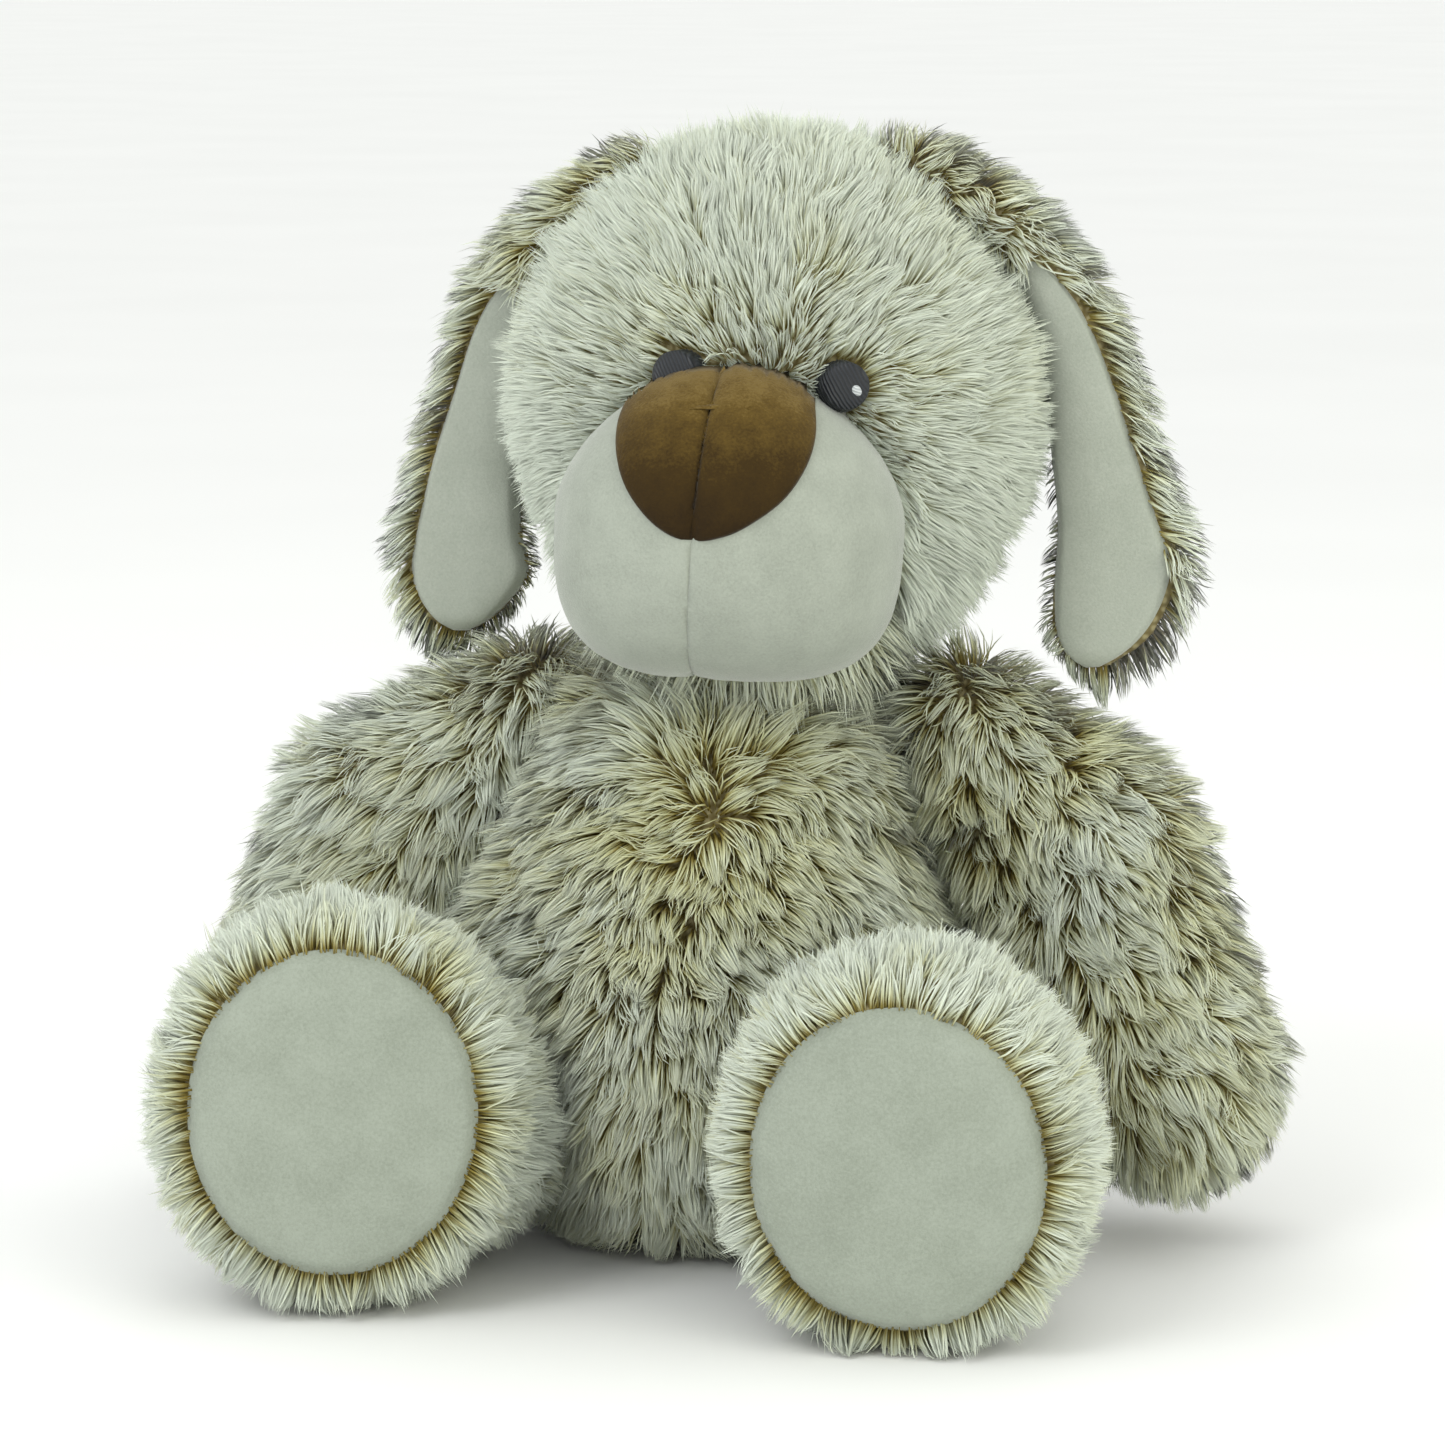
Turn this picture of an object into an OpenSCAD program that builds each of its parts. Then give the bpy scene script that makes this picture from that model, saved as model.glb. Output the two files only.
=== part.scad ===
// Seated plush dog, sewn from pile-fabric panels over loose filling.
// +Z is up, the dog faces -Y and its own left side is +X.
// The origin is on the floor, under the middle of the dog's bounding box.

/* [Fabric] */
// Thickness of a long-pile cover, backing and most of the pile together
long_pile = 9; // [6:1:12]
// Thickness of a short-pile cover
short_pile = 6; // [4:0.5:7]
// Thickness of an embroidered patch
stitch_height = 2.4; // [1.5:0.1:3]

/* [Torso] */
// Widest radius of the torso
torso_r = 72; // [68:1:74]
// Height of the widest place
torso_low_z = 52; // [50:1:54]
// Radius of the belly's rounding
belly_round = 60; // [58:1:61]
// Radius of the shoulders, where the arms join
shoulder_r = 50; // [48:1:52]
// Radius of the shoulder rounding
shoulder_round = 28; // [26:1:30]
// Height of the torso's top
torso_h = 145; // [143:1:146]
// How far the upper body leans towards the dog's left, in degrees
lean = 7; // [0:0.5:8]
// Height that the lean turns about
lean_z = 100; // [90:5:110]

/* [Head] */
// Radius of the head
head_r = 67; // [65:1:68]
// Height of the head's centre before the lean
head_z = 216; // [215:1:218]
// How far the face is turned towards the dog's left, in degrees
head_yaw = 5; // [0:1:8]
// How far the head is tilted towards the dog's left, in degrees
head_roll = 3; // [0:0.5:6]
// Half the width of the muzzle
muzzle_half = 42; // [38:1:43]
// Radius of the muzzle, seen from the side
muzzle_r = 37; // [34:1:38]
// How far the muzzle's centre lies in front of the head's centre
muzzle_out = 59; // [55:1:60]
// How far the muzzle's centre lies below the head's centre
muzzle_drop = 25; // [23:1:26]
// How far the muzzle's seam lies to the dog's right of the head's middle
seam_side = 6.5; // [0:0.5:7]
// How far the muzzle lies to the dog's right of the head's middle
muzzle_side = 1.5; // [0:0.5:3]
// How far the nose lies to the dog's right of the head's middle
nose_side = 5; // [0:0.5:6]
// Half the width of the nose
nose_half = 23; // [20:1:25]
// Height of the nose
nose_h = 37; // [33:1:39]
// Diameter of an embroidered eye
eye_d = 12.5; // [10:0.5:14]
// Distance of each eye from the face's centre line
eye_x = 20.5; // [18:0.5:22]
// Height of the eyes above the head's centre
eye_up = 10; // [9:0.5:16]

/* [Neck] */
// Radius of the neck's ball of filling
neck_r = 30; // [28:1:31]
// Height of the neck's centre before the lean
neck_z = 166; // [165:1:167]

/* [Ears] */
// Radius at the ear's sewn end
ear_root_r = 10; // [8:1:11]
// Radius at the ear's loose end
ear_tip_r = 17; // [15:1:19]
// Length between those two centres
ear_len = 104; // [90:1:106]
// Angle of each hanging ear from the vertical
ear_splay = 18; // [16:1:24]
// Thickness of the ear
ear_t = 16; // [12:1:18]

/* [Arms] */
// Radius of the arm at the shoulder
arm_root_r = 22; // [20:1:24]
// Radius of the paw
paw_r = 31; // [29:1:32]
// Distance of the paw's centre from the dog's middle
paw_x = 114; // [112:1:118]
// Height of the paw's centre
paw_z = 43; // [40:1:46]
// Radius of the arm at the elbow
elbow_r = 26; // [24:1:27]
// Distance of the elbow from the dog's middle
elbow_x = 96; // [92:1:98]
// Height of the elbow
elbow_z = 104; // [100:1:108]
// How far the shoulder's hinge axis points down from the horizontal
arm_axis_tilt = 30; // [28:1:32]
// How far the hinge axis points back, as a share of its length
arm_axis_back = 0.25; // [0.2:0.01:0.3]

/* [Legs] */
// Radius of the hip and the leg
leg_r = 27; // [26:1:31]
// Radius of the foot
foot_r = 46; // [44:1:47]
// Distance of each foot from the dog's middle
foot_x = 71; // [68:1:73]
// Radius of the sole
sole_r = 34; // [32:1:36]
// Highest lift of the leg, in degrees
leg_lift = 15; // [10:1:15]

/* [Tail] */
// Radius of the tail at its root
tail_root_r = 12; // [10:1:13]
// Radius of the tail's end
tail_end_r = 10; // [8:1:11]
// Length between those two centres
tail_len = 28; // [22:1:34]

/* [Hidden] */

FUR = "#c3cbb6";
SHORT_FUR = "#d9dfcb";
LINING = "#b4bda6";
NOSE = "#5a4020";
EYE = "#1c202d";
HIGHLIGHT = "#f4f6f0";
FILLING = "#f7f7f4";
POUCH = "#dcd8c8";

LEFT = 1;
RIGHT = -1;
// Clearance between pieces that move on each other
running_gap = 0.5;
// Clearance between a cover and the filling behind it
sewn_gap = 0.2;
// Larger than the whole dog, for cutting planes
big = 400;
// Steps in each round stretch of an outline
round_steps = 9;
// Everything is moved this far back, so that the origin is under the middle of the bounding box
set_back = 8.7;

// Thickness of the seat base
seat_t = 12;
// Where the side seams run, between the belly and the back panels
side_seam_y = -5;
belly_centre = [torso_r - belly_round, torso_low_z];
shoulder_centre = [shoulder_r - shoulder_round, torso_h - shoulder_round];

ear_root_x = 59;
ear_root_z = 51;
ear_back = 6;
shoulder_x = 56;
shoulder_z = 132;
eye_turn = asin(eye_x / sqrt(head_r * head_r - eye_up * eye_up));
eye_lift = asin(eye_up / head_r);
highlight_r = 1.7;

hip = [50, -12, 34];
ankle_r = leg_r + 1;
ankle_at = 46;
foot_arc_from = -40;
sole_at = sqrt(foot_r * foot_r - sole_r * sole_r) - 1;
thigh_gap = 31.5;
thigh_back = 3;
lift_clearance = 10;

tail_root = [-7, torso_r + 4.5, 42];
tail_rise = 25;
tail_cover = 5;

neck_band = 20;
pouch_middle = [-1, 17];
pouch_r = 22;
pouch_h = 18;
pouch_round = 7;

// Rotates a point about the lean's axis
function leaned(p) = [
    p[0] * cos(lean) + (p[2] - lean_z) * sin(lean),
    p[1],
    lean_z - p[0] * sin(lean) + (p[2] - lean_z) * cos(lean)
];
function shoulder(side) = [side * shoulder_x + 5, 5, shoulder_z];
function paw(side) = [side * paw_x, 9, paw_z];
function elbow(side) = [side * elbow_x, 7, elbow_z];
function arm_hinge(side) =
    let (v = [side * cos(arm_axis_tilt), arm_axis_back, -sin(arm_axis_tilt)])
    v / norm(v);
// The legs are slumped a little differently: the left foot reaches further forward
function foot(side) = [side * foot_x - 3.5, -93 - 3 * side, foot_r];
// Both soles face a little to the dog's left, and the left one also faces a little down
function sole_turn(side) = 8 - 4 * side;
function sole_dip(side) = 4 * side;
// Each ear's root, in the tilted head's own frame
function ear_root(side) = [
    side * ear_root_x * cos(head_roll) - ear_root_z * sin(head_roll),
    ear_back,
    side * ear_root_x * sin(head_roll) + ear_root_z * cos(head_roll)
];
function mirrored(side, p) = [side * p[0], p[1], p[2]];

function arc(centre, r, from, to) =
    [for (i = [0:round_steps])
        let (a = from + (to - from) * i / round_steps)
        centre + r * [cos(a), sin(a)]];

// Angle at which a straight line leaves one circle and meets the next
function tangent_angle(c1, r1, c2, r2) =
    let (d = c2 - c1)
    atan2(d[1], d[0]) - acos((r1 - r2) / norm(d));

// Right half of an outline around two circles, one above the other
function two_circles(c1, r1, c2, r2) =
    let (turn = tangent_angle(c1, r1, c2, r2))
    concat(
        c1[0] > 0 ? [[0, c1[1] - r1]] : [],
        arc(c1, r1, -90, turn),
        arc(c2, r2, turn, 90),
        c2[0] > 0 ? [[0, c2[1] + r2]] : []
    );

module lean_over() {
    translate([0, 0, lean_z])
        rotate([0, lean, 0])
            translate([0, 0, -lean_z])
                children();
}

module placed() {
    translate([0, set_back, 0])
        children();
}

// Turns +Z to point along v
module along(v) {
    rotate([0, acos(v[2] / norm(v)), atan2(v[1], v[0])])
        children();
}

// The half of space on one side of a plane, x above or below zero for side 1 or -1
module half_space(side) {
    translate([side > 0 ? 0 : -big, -big / 2, -big / 2])
        cube([big, big, big]);
}

// A ball that tapers to another ball, both on the Z axis
module taper(r1, r2, len, inset) {
    rotate_extrude()
        polygon(two_circles([0, 0], r1 - inset, [0, len], r2 - inset));
}

// ---- torso ----

module pear(inset) {
    lean_over()
        rotate_extrude()
            polygon(two_circles(belly_centre, belly_round - inset,
                                shoulder_centre, shoulder_round - inset));
}

module above(z) {
    translate([-big / 2, -big / 2, z])
        cube([big, big, big]);
}

module neck_cup() {
    lean_over()
        translate([0, 0, neck_z])
            sphere(r = neck_r + running_gap);
}

// All that an arm can sweep, as a solid turned about its hinge axis
module arm_sweep(side) {
    reach = paw(side) - shoulder(side);
    hinge = arm_hinge(side);
    along_hinge = reach * hinge;
    off_hinge = sqrt(reach * reach - along_hinge * along_hinge);
    root_r = arm_root_r + running_gap;
    end_r = paw_r + running_gap;
    turn = tangent_angle([0, 0], root_r, [off_hinge, along_hinge], end_r);
    translate(shoulder(side))
        along(hinge)
            rotate_extrude()
                polygon(concat(
                    arc([0, 0], root_r, -90, turn),
                    [[off_hinge, along_hinge] + end_r * [cos(turn), sin(turn)],
                     [off_hinge, along_hinge + end_r],
                     [0, along_hinge + end_r]]
                ));
}

// Room for the hip and for the thigh, from its rest up to its highest lift
module hip_pocket(side) {
    translate(mirrored(side, hip)) {
        sphere(r = leg_r + 2 * running_gap);
        rotate([-leg_lift - lift_clearance, 0, 0])
            translate([-thigh_gap, thigh_back - big / 2, -big])
                cube([2 * thigh_gap, big / 2, big + leg_r + 2 * running_gap]);
    }
}

module tail_pocket() {
    translate(tail_root)
        sphere(r = tail_root_r + running_gap);
}

module torso_panel(side, front) {
    placed()
        difference() {
            intersection() {
                pear(0);
                above(seat_t);
                lean_over()
                    half_space(side);
                translate([0, side_seam_y, 0])
                    rotate([0, 0, 90])
                        half_space(front);
            }
            pear(long_pile);
            neck_cup();
            arm_sweep(side);
            hip_pocket(side);
            tail_pocket();
        }
}

module belly_left() {
    color(FUR)
        torso_panel(LEFT, -1);
}

module belly_right() {
    color(FUR)
        torso_panel(RIGHT, -1);
}

module back_left() {
    color(FUR)
        torso_panel(LEFT, 1);
}

module back_right() {
    color(FUR)
        torso_panel(RIGHT, 1);
}

module seat_base() {
    color(FUR)
        placed()
            difference() {
                intersection() {
                    pear(0);
                    above(0);
                }
                above(seat_t);
                hip_pocket(LEFT);
                hip_pocket(RIGHT);
            }
}

module torso_filling() {
    color(FILLING)
        placed()
            difference() {
                intersection() {
                    pear(long_pile + sewn_gap);
                    above(seat_t + sewn_gap);
                }
                pouch(-sewn_gap);
                neck_cup();
                for (side = [LEFT, RIGHT]) {
                    arm_sweep(side);
                    hip_pocket(side);
                }
                tail_pocket();
            }
}

// A bag of granules lying on the seat, flattened by its own weight
module pouch(inset) {
    edge = pouch_r - pouch_round;
    translate([pouch_middle[0], pouch_middle[1], seat_t + sewn_gap + inset])
        rotate_extrude()
            polygon(concat(
                [[0, 0], [pouch_r - inset, 0]],
                arc([edge, pouch_h - pouch_round], pouch_round - inset, 0, 90),
                [[0, pouch_h - inset]]
            ));
}

module granule_pouch() {
    color(POUCH)
        placed()
            pouch(sewn_gap);
}

// ---- neck ----

module neck_place() {
    placed()
        lean_over()
            translate([0, 0, neck_z])
                children();
}

// The cover is open at the top and at the bottom, where the filling passes through
module neck_cover() {
    color(FUR)
        neck_place()
            difference() {
                sphere(r = neck_r);
                sphere(r = neck_r - short_pile);
                above(neck_band);
                above(-neck_band - big);
            }
}

module neck_filling() {
    color(FILLING)
        neck_place()
            sphere(r = neck_r - short_pile - sewn_gap);
}

// ---- head ----

module head_place() {
    placed()
        translate(leaned([0, 0, head_z]))
            rotate([0, head_roll, 0])
                rotate([0, 0, head_yaw])
                    children();
}

// A ball widened along X, with radius muzzle_r seen from the side
module muzzle_shape(inset) {
    translate([-muzzle_side, -muzzle_out, -muzzle_drop])
        rotate([0, 90, 0])
            rotate_extrude()
                polygon([for (i = [-round_steps:round_steps])
                    let (a = 90 * i / round_steps)
                    [(muzzle_r - inset) * cos(a), (muzzle_half - inset) * sin(a)]]);
}

// Everything on one side of the seam down the muzzle and the nose
module face_half(side) {
    translate([-seam_side, 0, 0])
        half_space(side);
}

module head_socket() {
    rotate([0, 0, -head_yaw])
        rotate([0, lean - head_roll, 0])
            translate([0, 0, neck_z - head_z])
                sphere(r = neck_r + running_gap);
}

// Half of a hollow ball, on the dog's left for side 1 and on its right for side -1
module head_shell(side) {
    rotate([180, 0, 0])
        rotate([0, 0, -side * 90])
            rotate_extrude(angle = 180)
                difference() {
                    circle(r = head_r);
                    circle(r = head_r - long_pile);
                    translate([-big, -big / 2])
                        square([big, big]);
                }
}

module head_half(side) {
    head_place()
        difference() {
            head_shell(side);
            muzzle_shape(0);
            head_socket();
        }
}

module head_fur_left() {
    color(FUR)
        head_half(LEFT);
}

module head_fur_right() {
    color(FUR)
        head_half(RIGHT);
}

module head_filling() {
    color(FILLING)
        head_place()
            difference() {
                union() {
                    sphere(r = head_r - long_pile - sewn_gap);
                    muzzle_shape(short_pile + sewn_gap);
                }
                head_socket();
            }
}

module muzzle_panel(side) {
    head_place()
        difference() {
            intersection() {
                muzzle_shape(0);
                face_half(side);
            }
            muzzle_shape(short_pile);
            sphere(r = head_r - long_pile);
        }
}

module muzzle_left() {
    color(SHORT_FUR)
        muzzle_panel(LEFT);
}

module muzzle_right() {
    color(SHORT_FUR)
        muzzle_panel(RIGHT);
}

// A triangle with rounded corners, point down, with its top edge at y = 0
module nose_outline() {
    corner = nose_half / 3;
    side_x = nose_half - corner;
    side_y = -nose_h * 0.38;
    polygon(concat(
        arc([side_x, side_y], corner, -60, 45),
        arc([0, -corner * 2], corner * 2, 60, 120),
        arc([-side_x, side_y], corner, 135, 240),
        arc([0, -nose_h + corner / 2], corner / 2, 210, 330)
    ));
}

module nose_half_patch(side) {
    nose_top = muzzle_r - muzzle_drop - 0.5;
    head_place()
        difference() {
            intersection() {
                muzzle_shape(-stitch_height);
                face_half(side);
                translate([-nose_side, -muzzle_out - 5, nose_top])
                    rotate([90, 0, 0])
                        linear_extrude(height = muzzle_r + 10)
                            nose_outline();
            }
            muzzle_shape(0);
        }
}

module nose_left() {
    color(NOSE)
        nose_half_patch(LEFT);
}

module nose_right() {
    color(NOSE)
        nose_half_patch(RIGHT);
}

// Points +Z outwards through the middle of an eye
module eye_place(side) {
    rotate([0, 0, side * eye_turn])
        rotate([90 - eye_lift, 0, 0])
            children();
}

module highlight_rod(side) {
    eye_place(side)
        translate([3, -0.8, 0])
            cylinder(r = highlight_r, h = head_r + 2 * stitch_height);
}

module eye_cap() {
    difference() {
        sphere(r = head_r + stitch_height);
        sphere(r = head_r);
    }
}

module eye(side) {
    head_place()
        difference() {
            intersection() {
                eye_cap();
                eye_place(side)
                    cylinder(d = eye_d, h = head_r + 2 * stitch_height);
            }
            muzzle_shape(0);
            highlight_rod(side);
        }
}

module eye_highlight(side) {
    head_place()
        difference() {
            intersection() {
                eye_cap();
                highlight_rod(side);
            }
            muzzle_shape(0);
        }
}

module eye_left() {
    color(EYE)
        eye(LEFT);
}

module eye_right() {
    color(EYE)
        eye(RIGHT);
}

module eye_highlight_left() {
    color(HIGHLIGHT)
        eye_highlight(LEFT);
}

module eye_highlight_right() {
    color(HIGHLIGHT)
        eye_highlight(RIGHT);
}

// ---- ears ----

// A drop shape that hangs from its small end, at the origin
module ear_outline(side, inset) {
    half = two_circles([0, 0], ear_root_r - inset, [0, ear_len], ear_tip_r - inset);
    last = len(half) - 1;
    other = [for (i = [last - 1:-1:1]) [-half[i][0], half[i][1]]];
    rotate([0, 0, side * (ear_splay - 180) + head_roll])
        polygon(concat(half, other));
}

// A slab of the ear from its front face back to a given depth
module ear_slab(side, inset, depth) {
    translate([0, depth - ear_t / 2, 0])
        rotate([90, 0, 0])
            linear_extrude(height = depth)
                ear_outline(side, inset);
}

module ear_piece(side) {
    head_place()
        difference() {
            translate(ear_root(side))
                children();
            sphere(r = head_r + 2 * running_gap);
        }
}

module ear_fur(side) {
    ear_piece(side)
        difference() {
            ear_slab(side, 0, ear_t);
            translate([0, -1, 0])
                ear_slab(side, short_pile, short_pile + 1);
        }
}

module ear_lining(side) {
    ear_piece(side)
        ear_slab(side, short_pile, short_pile);
}

module ear_left_fur() {
    color(FUR)
        ear_fur(LEFT);
}

module ear_left_lining() {
    color(LINING)
        ear_lining(LEFT);
}

module ear_right_fur() {
    color(FUR)
        ear_fur(RIGHT);
}

module ear_right_lining() {
    color(LINING)
        ear_lining(RIGHT);
}

// ---- arms ----

module arm_link(from, r1, to, r2) {
    translate(from)
        along(to - from)
            taper(r1, r2, norm(to - from), 0);
}

// The upper arm ends just inside the elbow's ball, where the forearm begins
module arm_shape(side, inset) {
    arm_link(shoulder(side), arm_root_r - inset,
             elbow(side), elbow_r - inset - running_gap);
    arm_link(elbow(side), elbow_r - inset, paw(side), paw_r - inset);
}

// The inner half lies towards the torso, the outer half away from it
module arm_cover(side, inner) {
    placed()
        difference() {
            intersection() {
                arm_shape(side, 0);
                translate(shoulder(side))
                    along(paw(side) - shoulder(side))
                        half_space(inner);
            }
            arm_shape(side, long_pile);
        }
}

module arm_stuffing(side) {
    placed()
        arm_shape(side, long_pile + sewn_gap);
}

module arm_left_outer() {
    color(FUR)
        arm_cover(LEFT, -1);
}

module arm_left_inner() {
    color(FUR)
        arm_cover(LEFT, 1);
}

module arm_left_filling() {
    color(FILLING)
        arm_stuffing(LEFT);
}

module arm_right_outer() {
    color(FUR)
        arm_cover(RIGHT, -1);
}

module arm_right_inner() {
    color(FUR)
        arm_cover(RIGHT, 1);
}

module arm_right_filling() {
    color(FILLING)
        arm_stuffing(RIGHT);
}

// ---- legs ----

// The leg from the hip's centre to the foot's end, with a narrow ankle
module leg_shape(side, inset) {
    reach = foot(side) - mirrored(side, hip);
    foot_at = norm(reach);
    translate(mirrored(side, hip))
        along(reach)
            rotate_extrude()
                polygon(concat(
                    arc([0, 0], leg_r - inset, -90, 0),
                    [[ankle_r - inset, ankle_at]],
                    arc([0, foot_at], foot_r - inset, foot_arc_from, 90)
                ));
}

// The half of space above or below the leg's axis
module leg_half(side, below) {
    translate(mirrored(side, hip))
        along(foot(side) - mirrored(side, hip))
            half_space(below);
}

// Points +Z out of the foot's centre through the middle of the sole
module sole_place(side) {
    translate(foot(side))
        rotate([0, 0, sole_turn(side)])
            rotate([90 + sole_dip(side), 0, 0])
                children();
}

module sole_disc(side, depth) {
    sole_place(side)
        translate([0, 0, sole_at - depth])
            cylinder(r = sole_r, h = depth);
}

module beyond_sole(side, depth) {
    sole_place(side)
        translate([0, 0, sole_at - depth])
            above(0);
}

module leg_cover(side, below) {
    placed()
        difference() {
            intersection() {
                leg_shape(side, 0);
                leg_half(side, below);
            }
            leg_shape(side, long_pile);
            beyond_sole(side, 0);
            sole_disc(side, short_pile);
        }
}

module sole(side) {
    placed()
        sole_disc(side, short_pile);
}

module leg_stuffing(side) {
    placed()
        difference() {
            leg_shape(side, long_pile + sewn_gap);
            beyond_sole(side, short_pile + sewn_gap);
        }
}

module leg_left_top() {
    color(FUR)
        leg_cover(LEFT, -1);
}

module leg_left_underside() {
    color(FUR)
        leg_cover(LEFT, 1);
}

module sole_left() {
    color(SHORT_FUR)
        sole(LEFT);
}

module leg_left_filling() {
    color(FILLING)
        leg_stuffing(LEFT);
}

module leg_right_top() {
    color(FUR)
        leg_cover(RIGHT, -1);
}

module leg_right_underside() {
    color(FUR)
        leg_cover(RIGHT, 1);
}

module sole_right() {
    color(SHORT_FUR)
        sole(RIGHT);
}

module leg_right_filling() {
    color(FILLING)
        leg_stuffing(RIGHT);
}

// ---- tail ----

module tail_shape(inset) {
    placed()
        translate(tail_root)
            rotate([tail_rise - 90, 0, 0])
                taper(tail_root_r, tail_end_r, tail_len, inset);
}

module tail_fur() {
    color(FUR)
        difference() {
            tail_shape(0);
            tail_shape(tail_cover);
        }
}

module tail_filling() {
    color(FILLING)
        tail_shape(tail_cover + sewn_gap);
}

head_fur_left();
head_fur_right();
head_filling();
muzzle_left();
muzzle_right();
nose_left();
nose_right();
eye_left();
eye_right();
eye_highlight_left();
eye_highlight_right();
ear_left_fur();
ear_left_lining();
ear_right_fur();
ear_right_lining();
neck_cover();
neck_filling();
belly_left();
belly_right();
back_left();
back_right();
seat_base();
torso_filling();
granule_pouch();
arm_left_outer();
arm_left_inner();
arm_left_filling();
arm_right_outer();
arm_right_inner();
arm_right_filling();
leg_left_top();
leg_left_underside();
sole_left();
leg_left_filling();
leg_right_top();
leg_right_underside();
sole_right();
leg_right_filling();
tail_fur();
tail_filling();
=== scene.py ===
"""Seated long-haired plush dog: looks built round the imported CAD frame."""
import math

import bmesh
import bpy
import numpy as np
from mathutils import Matrix, Vector, kdtree
from mathutils.bvhtree import BVHTree


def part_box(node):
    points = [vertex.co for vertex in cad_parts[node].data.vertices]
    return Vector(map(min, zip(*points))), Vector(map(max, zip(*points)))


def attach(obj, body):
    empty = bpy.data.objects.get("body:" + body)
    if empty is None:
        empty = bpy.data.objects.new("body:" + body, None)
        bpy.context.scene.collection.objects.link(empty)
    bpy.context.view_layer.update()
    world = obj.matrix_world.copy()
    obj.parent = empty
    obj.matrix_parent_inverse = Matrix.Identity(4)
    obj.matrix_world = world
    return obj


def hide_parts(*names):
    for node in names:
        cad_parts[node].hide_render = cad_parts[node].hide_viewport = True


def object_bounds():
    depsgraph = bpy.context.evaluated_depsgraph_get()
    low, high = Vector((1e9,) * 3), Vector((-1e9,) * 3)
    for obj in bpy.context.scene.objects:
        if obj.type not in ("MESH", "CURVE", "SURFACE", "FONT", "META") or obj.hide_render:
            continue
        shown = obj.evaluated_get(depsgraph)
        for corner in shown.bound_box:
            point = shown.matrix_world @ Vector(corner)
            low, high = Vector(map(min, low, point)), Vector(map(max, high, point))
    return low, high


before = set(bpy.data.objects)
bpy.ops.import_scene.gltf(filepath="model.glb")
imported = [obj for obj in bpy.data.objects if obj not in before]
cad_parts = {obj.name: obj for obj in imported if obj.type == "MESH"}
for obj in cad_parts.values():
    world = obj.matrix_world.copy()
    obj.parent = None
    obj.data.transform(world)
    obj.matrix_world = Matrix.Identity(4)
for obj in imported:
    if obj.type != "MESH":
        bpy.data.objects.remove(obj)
CAD_LOW, CAD_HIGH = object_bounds()
MM = 0.001
SIDES = {"left": 1, "right": -1}
PILE_UV = "OFBake"
scene = bpy.context.scene


# ---------------------------------------------------------------- mesh helpers
def link(name, mesh):
    ob = bpy.data.objects.new(name, mesh)
    scene.collection.objects.link(ob)
    return ob


def new_object(name, verts, faces):
    mesh = bpy.data.meshes.new(name)
    mesh.from_pydata([tuple(v) for v in verts], [], faces)
    mesh.update()
    mesh.shade_smooth()
    return link(name, mesh)


def coords(ob, what="co"):
    out = np.empty(len(ob.data.vertices) * 3)
    ob.data.vertices.foreach_get(what, out)
    return out.reshape(-1, 3)


def set_coords(ob, co):
    ob.data.vertices.foreach_set("co", np.ascontiguousarray(co, float).ravel())
    ob.data.update()


def ring_faces(rings, turns):
    """Quads between successive closed rings of points."""
    faces = []
    for i in range(rings):
        a, b = i * turns, (i + 1) * turns
        faces += [(a + j, b + j, b + (j + 1) % turns, a + (j + 1) % turns) for j in range(turns)]
    return faces


def settle(ob):
    """Applies the object's modifiers to its mesh."""
    deps = bpy.context.evaluated_depsgraph_get()
    mesh = bpy.data.meshes.new_from_object(ob.evaluated_get(deps))
    ob.modifiers.clear()
    old, ob.data = ob.data, mesh
    bpy.data.meshes.remove(old)
    ob.data.shade_smooth()


def remesh(ob, voxel, smooth=0):
    m = ob.modifiers.new("remesh", "REMESH")
    m.mode = "VOXEL"
    m.voxel_size = voxel
    if smooth:
        s = ob.modifiers.new("smooth", "SMOOTH")
        s.iterations = smooth
    settle(ob)


def cad_solid(name, nodes, hull=False):
    """The CAD nodes' meshes as one object, or their convex hull."""
    bm = bmesh.new()
    for n in nodes:
        bm.from_mesh(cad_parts[n].data)
    if hull:
        got = bmesh.ops.convex_hull(bm, input=bm.verts)
        spare = [g for g in got["geom_interior"] + got["geom_unused"] if isinstance(g, bmesh.types.BMVert)]
        bmesh.ops.delete(bm, geom=list(set(spare)), context="VERTS")
        hull_faces = {g for g in got["geom"] if isinstance(g, bmesh.types.BMFace)}
        bmesh.ops.delete(bm, geom=[f for f in bm.faces if f not in hull_faces], context="FACES")
        bmesh.ops.recalc_face_normals(bm, faces=bm.faces)
    mesh = bpy.data.meshes.new(name)
    bm.to_mesh(mesh)
    bm.free()
    return link(name, mesh)


def inset(ob, depth, smooth=3):
    set_coords(ob, coords(ob) - coords(ob, "normal") * depth)
    if smooth:
        s = ob.modifiers.new("smooth", "SMOOTH")
        s.iterations = smooth
        settle(ob)


def puff(ob, cap, pressure=4.0, frames=20):
    """Blows the closed fabric shell up a little with a cloth simulation, and caps how far it may move."""
    rest = coords(ob)
    cloth = ob.modifiers.new("cloth", "CLOTH")
    cloth.settings.quality = 5
    cloth.settings.use_pressure = True
    cloth.settings.uniform_pressure_force = pressure
    cloth.settings.effector_weights.gravity = 0
    cloth.point_cache.frame_start = 1
    cloth.point_cache.frame_end = frames
    for f in range(1, frames + 1):
        scene.frame_set(f)
    settle(ob)
    scene.frame_set(1)
    move = coords(ob) - rest
    far = np.linalg.norm(move, axis=1, keepdims=True)
    set_coords(ob, rest + move * np.minimum(1, cap / np.maximum(far, 1e-9)))


def centre(node):
    low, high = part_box(node)
    return (low + high) / 2


def unit(v):
    return v / np.maximum(np.linalg.norm(v, axis=-1, keepdims=True), 1e-12)


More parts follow.
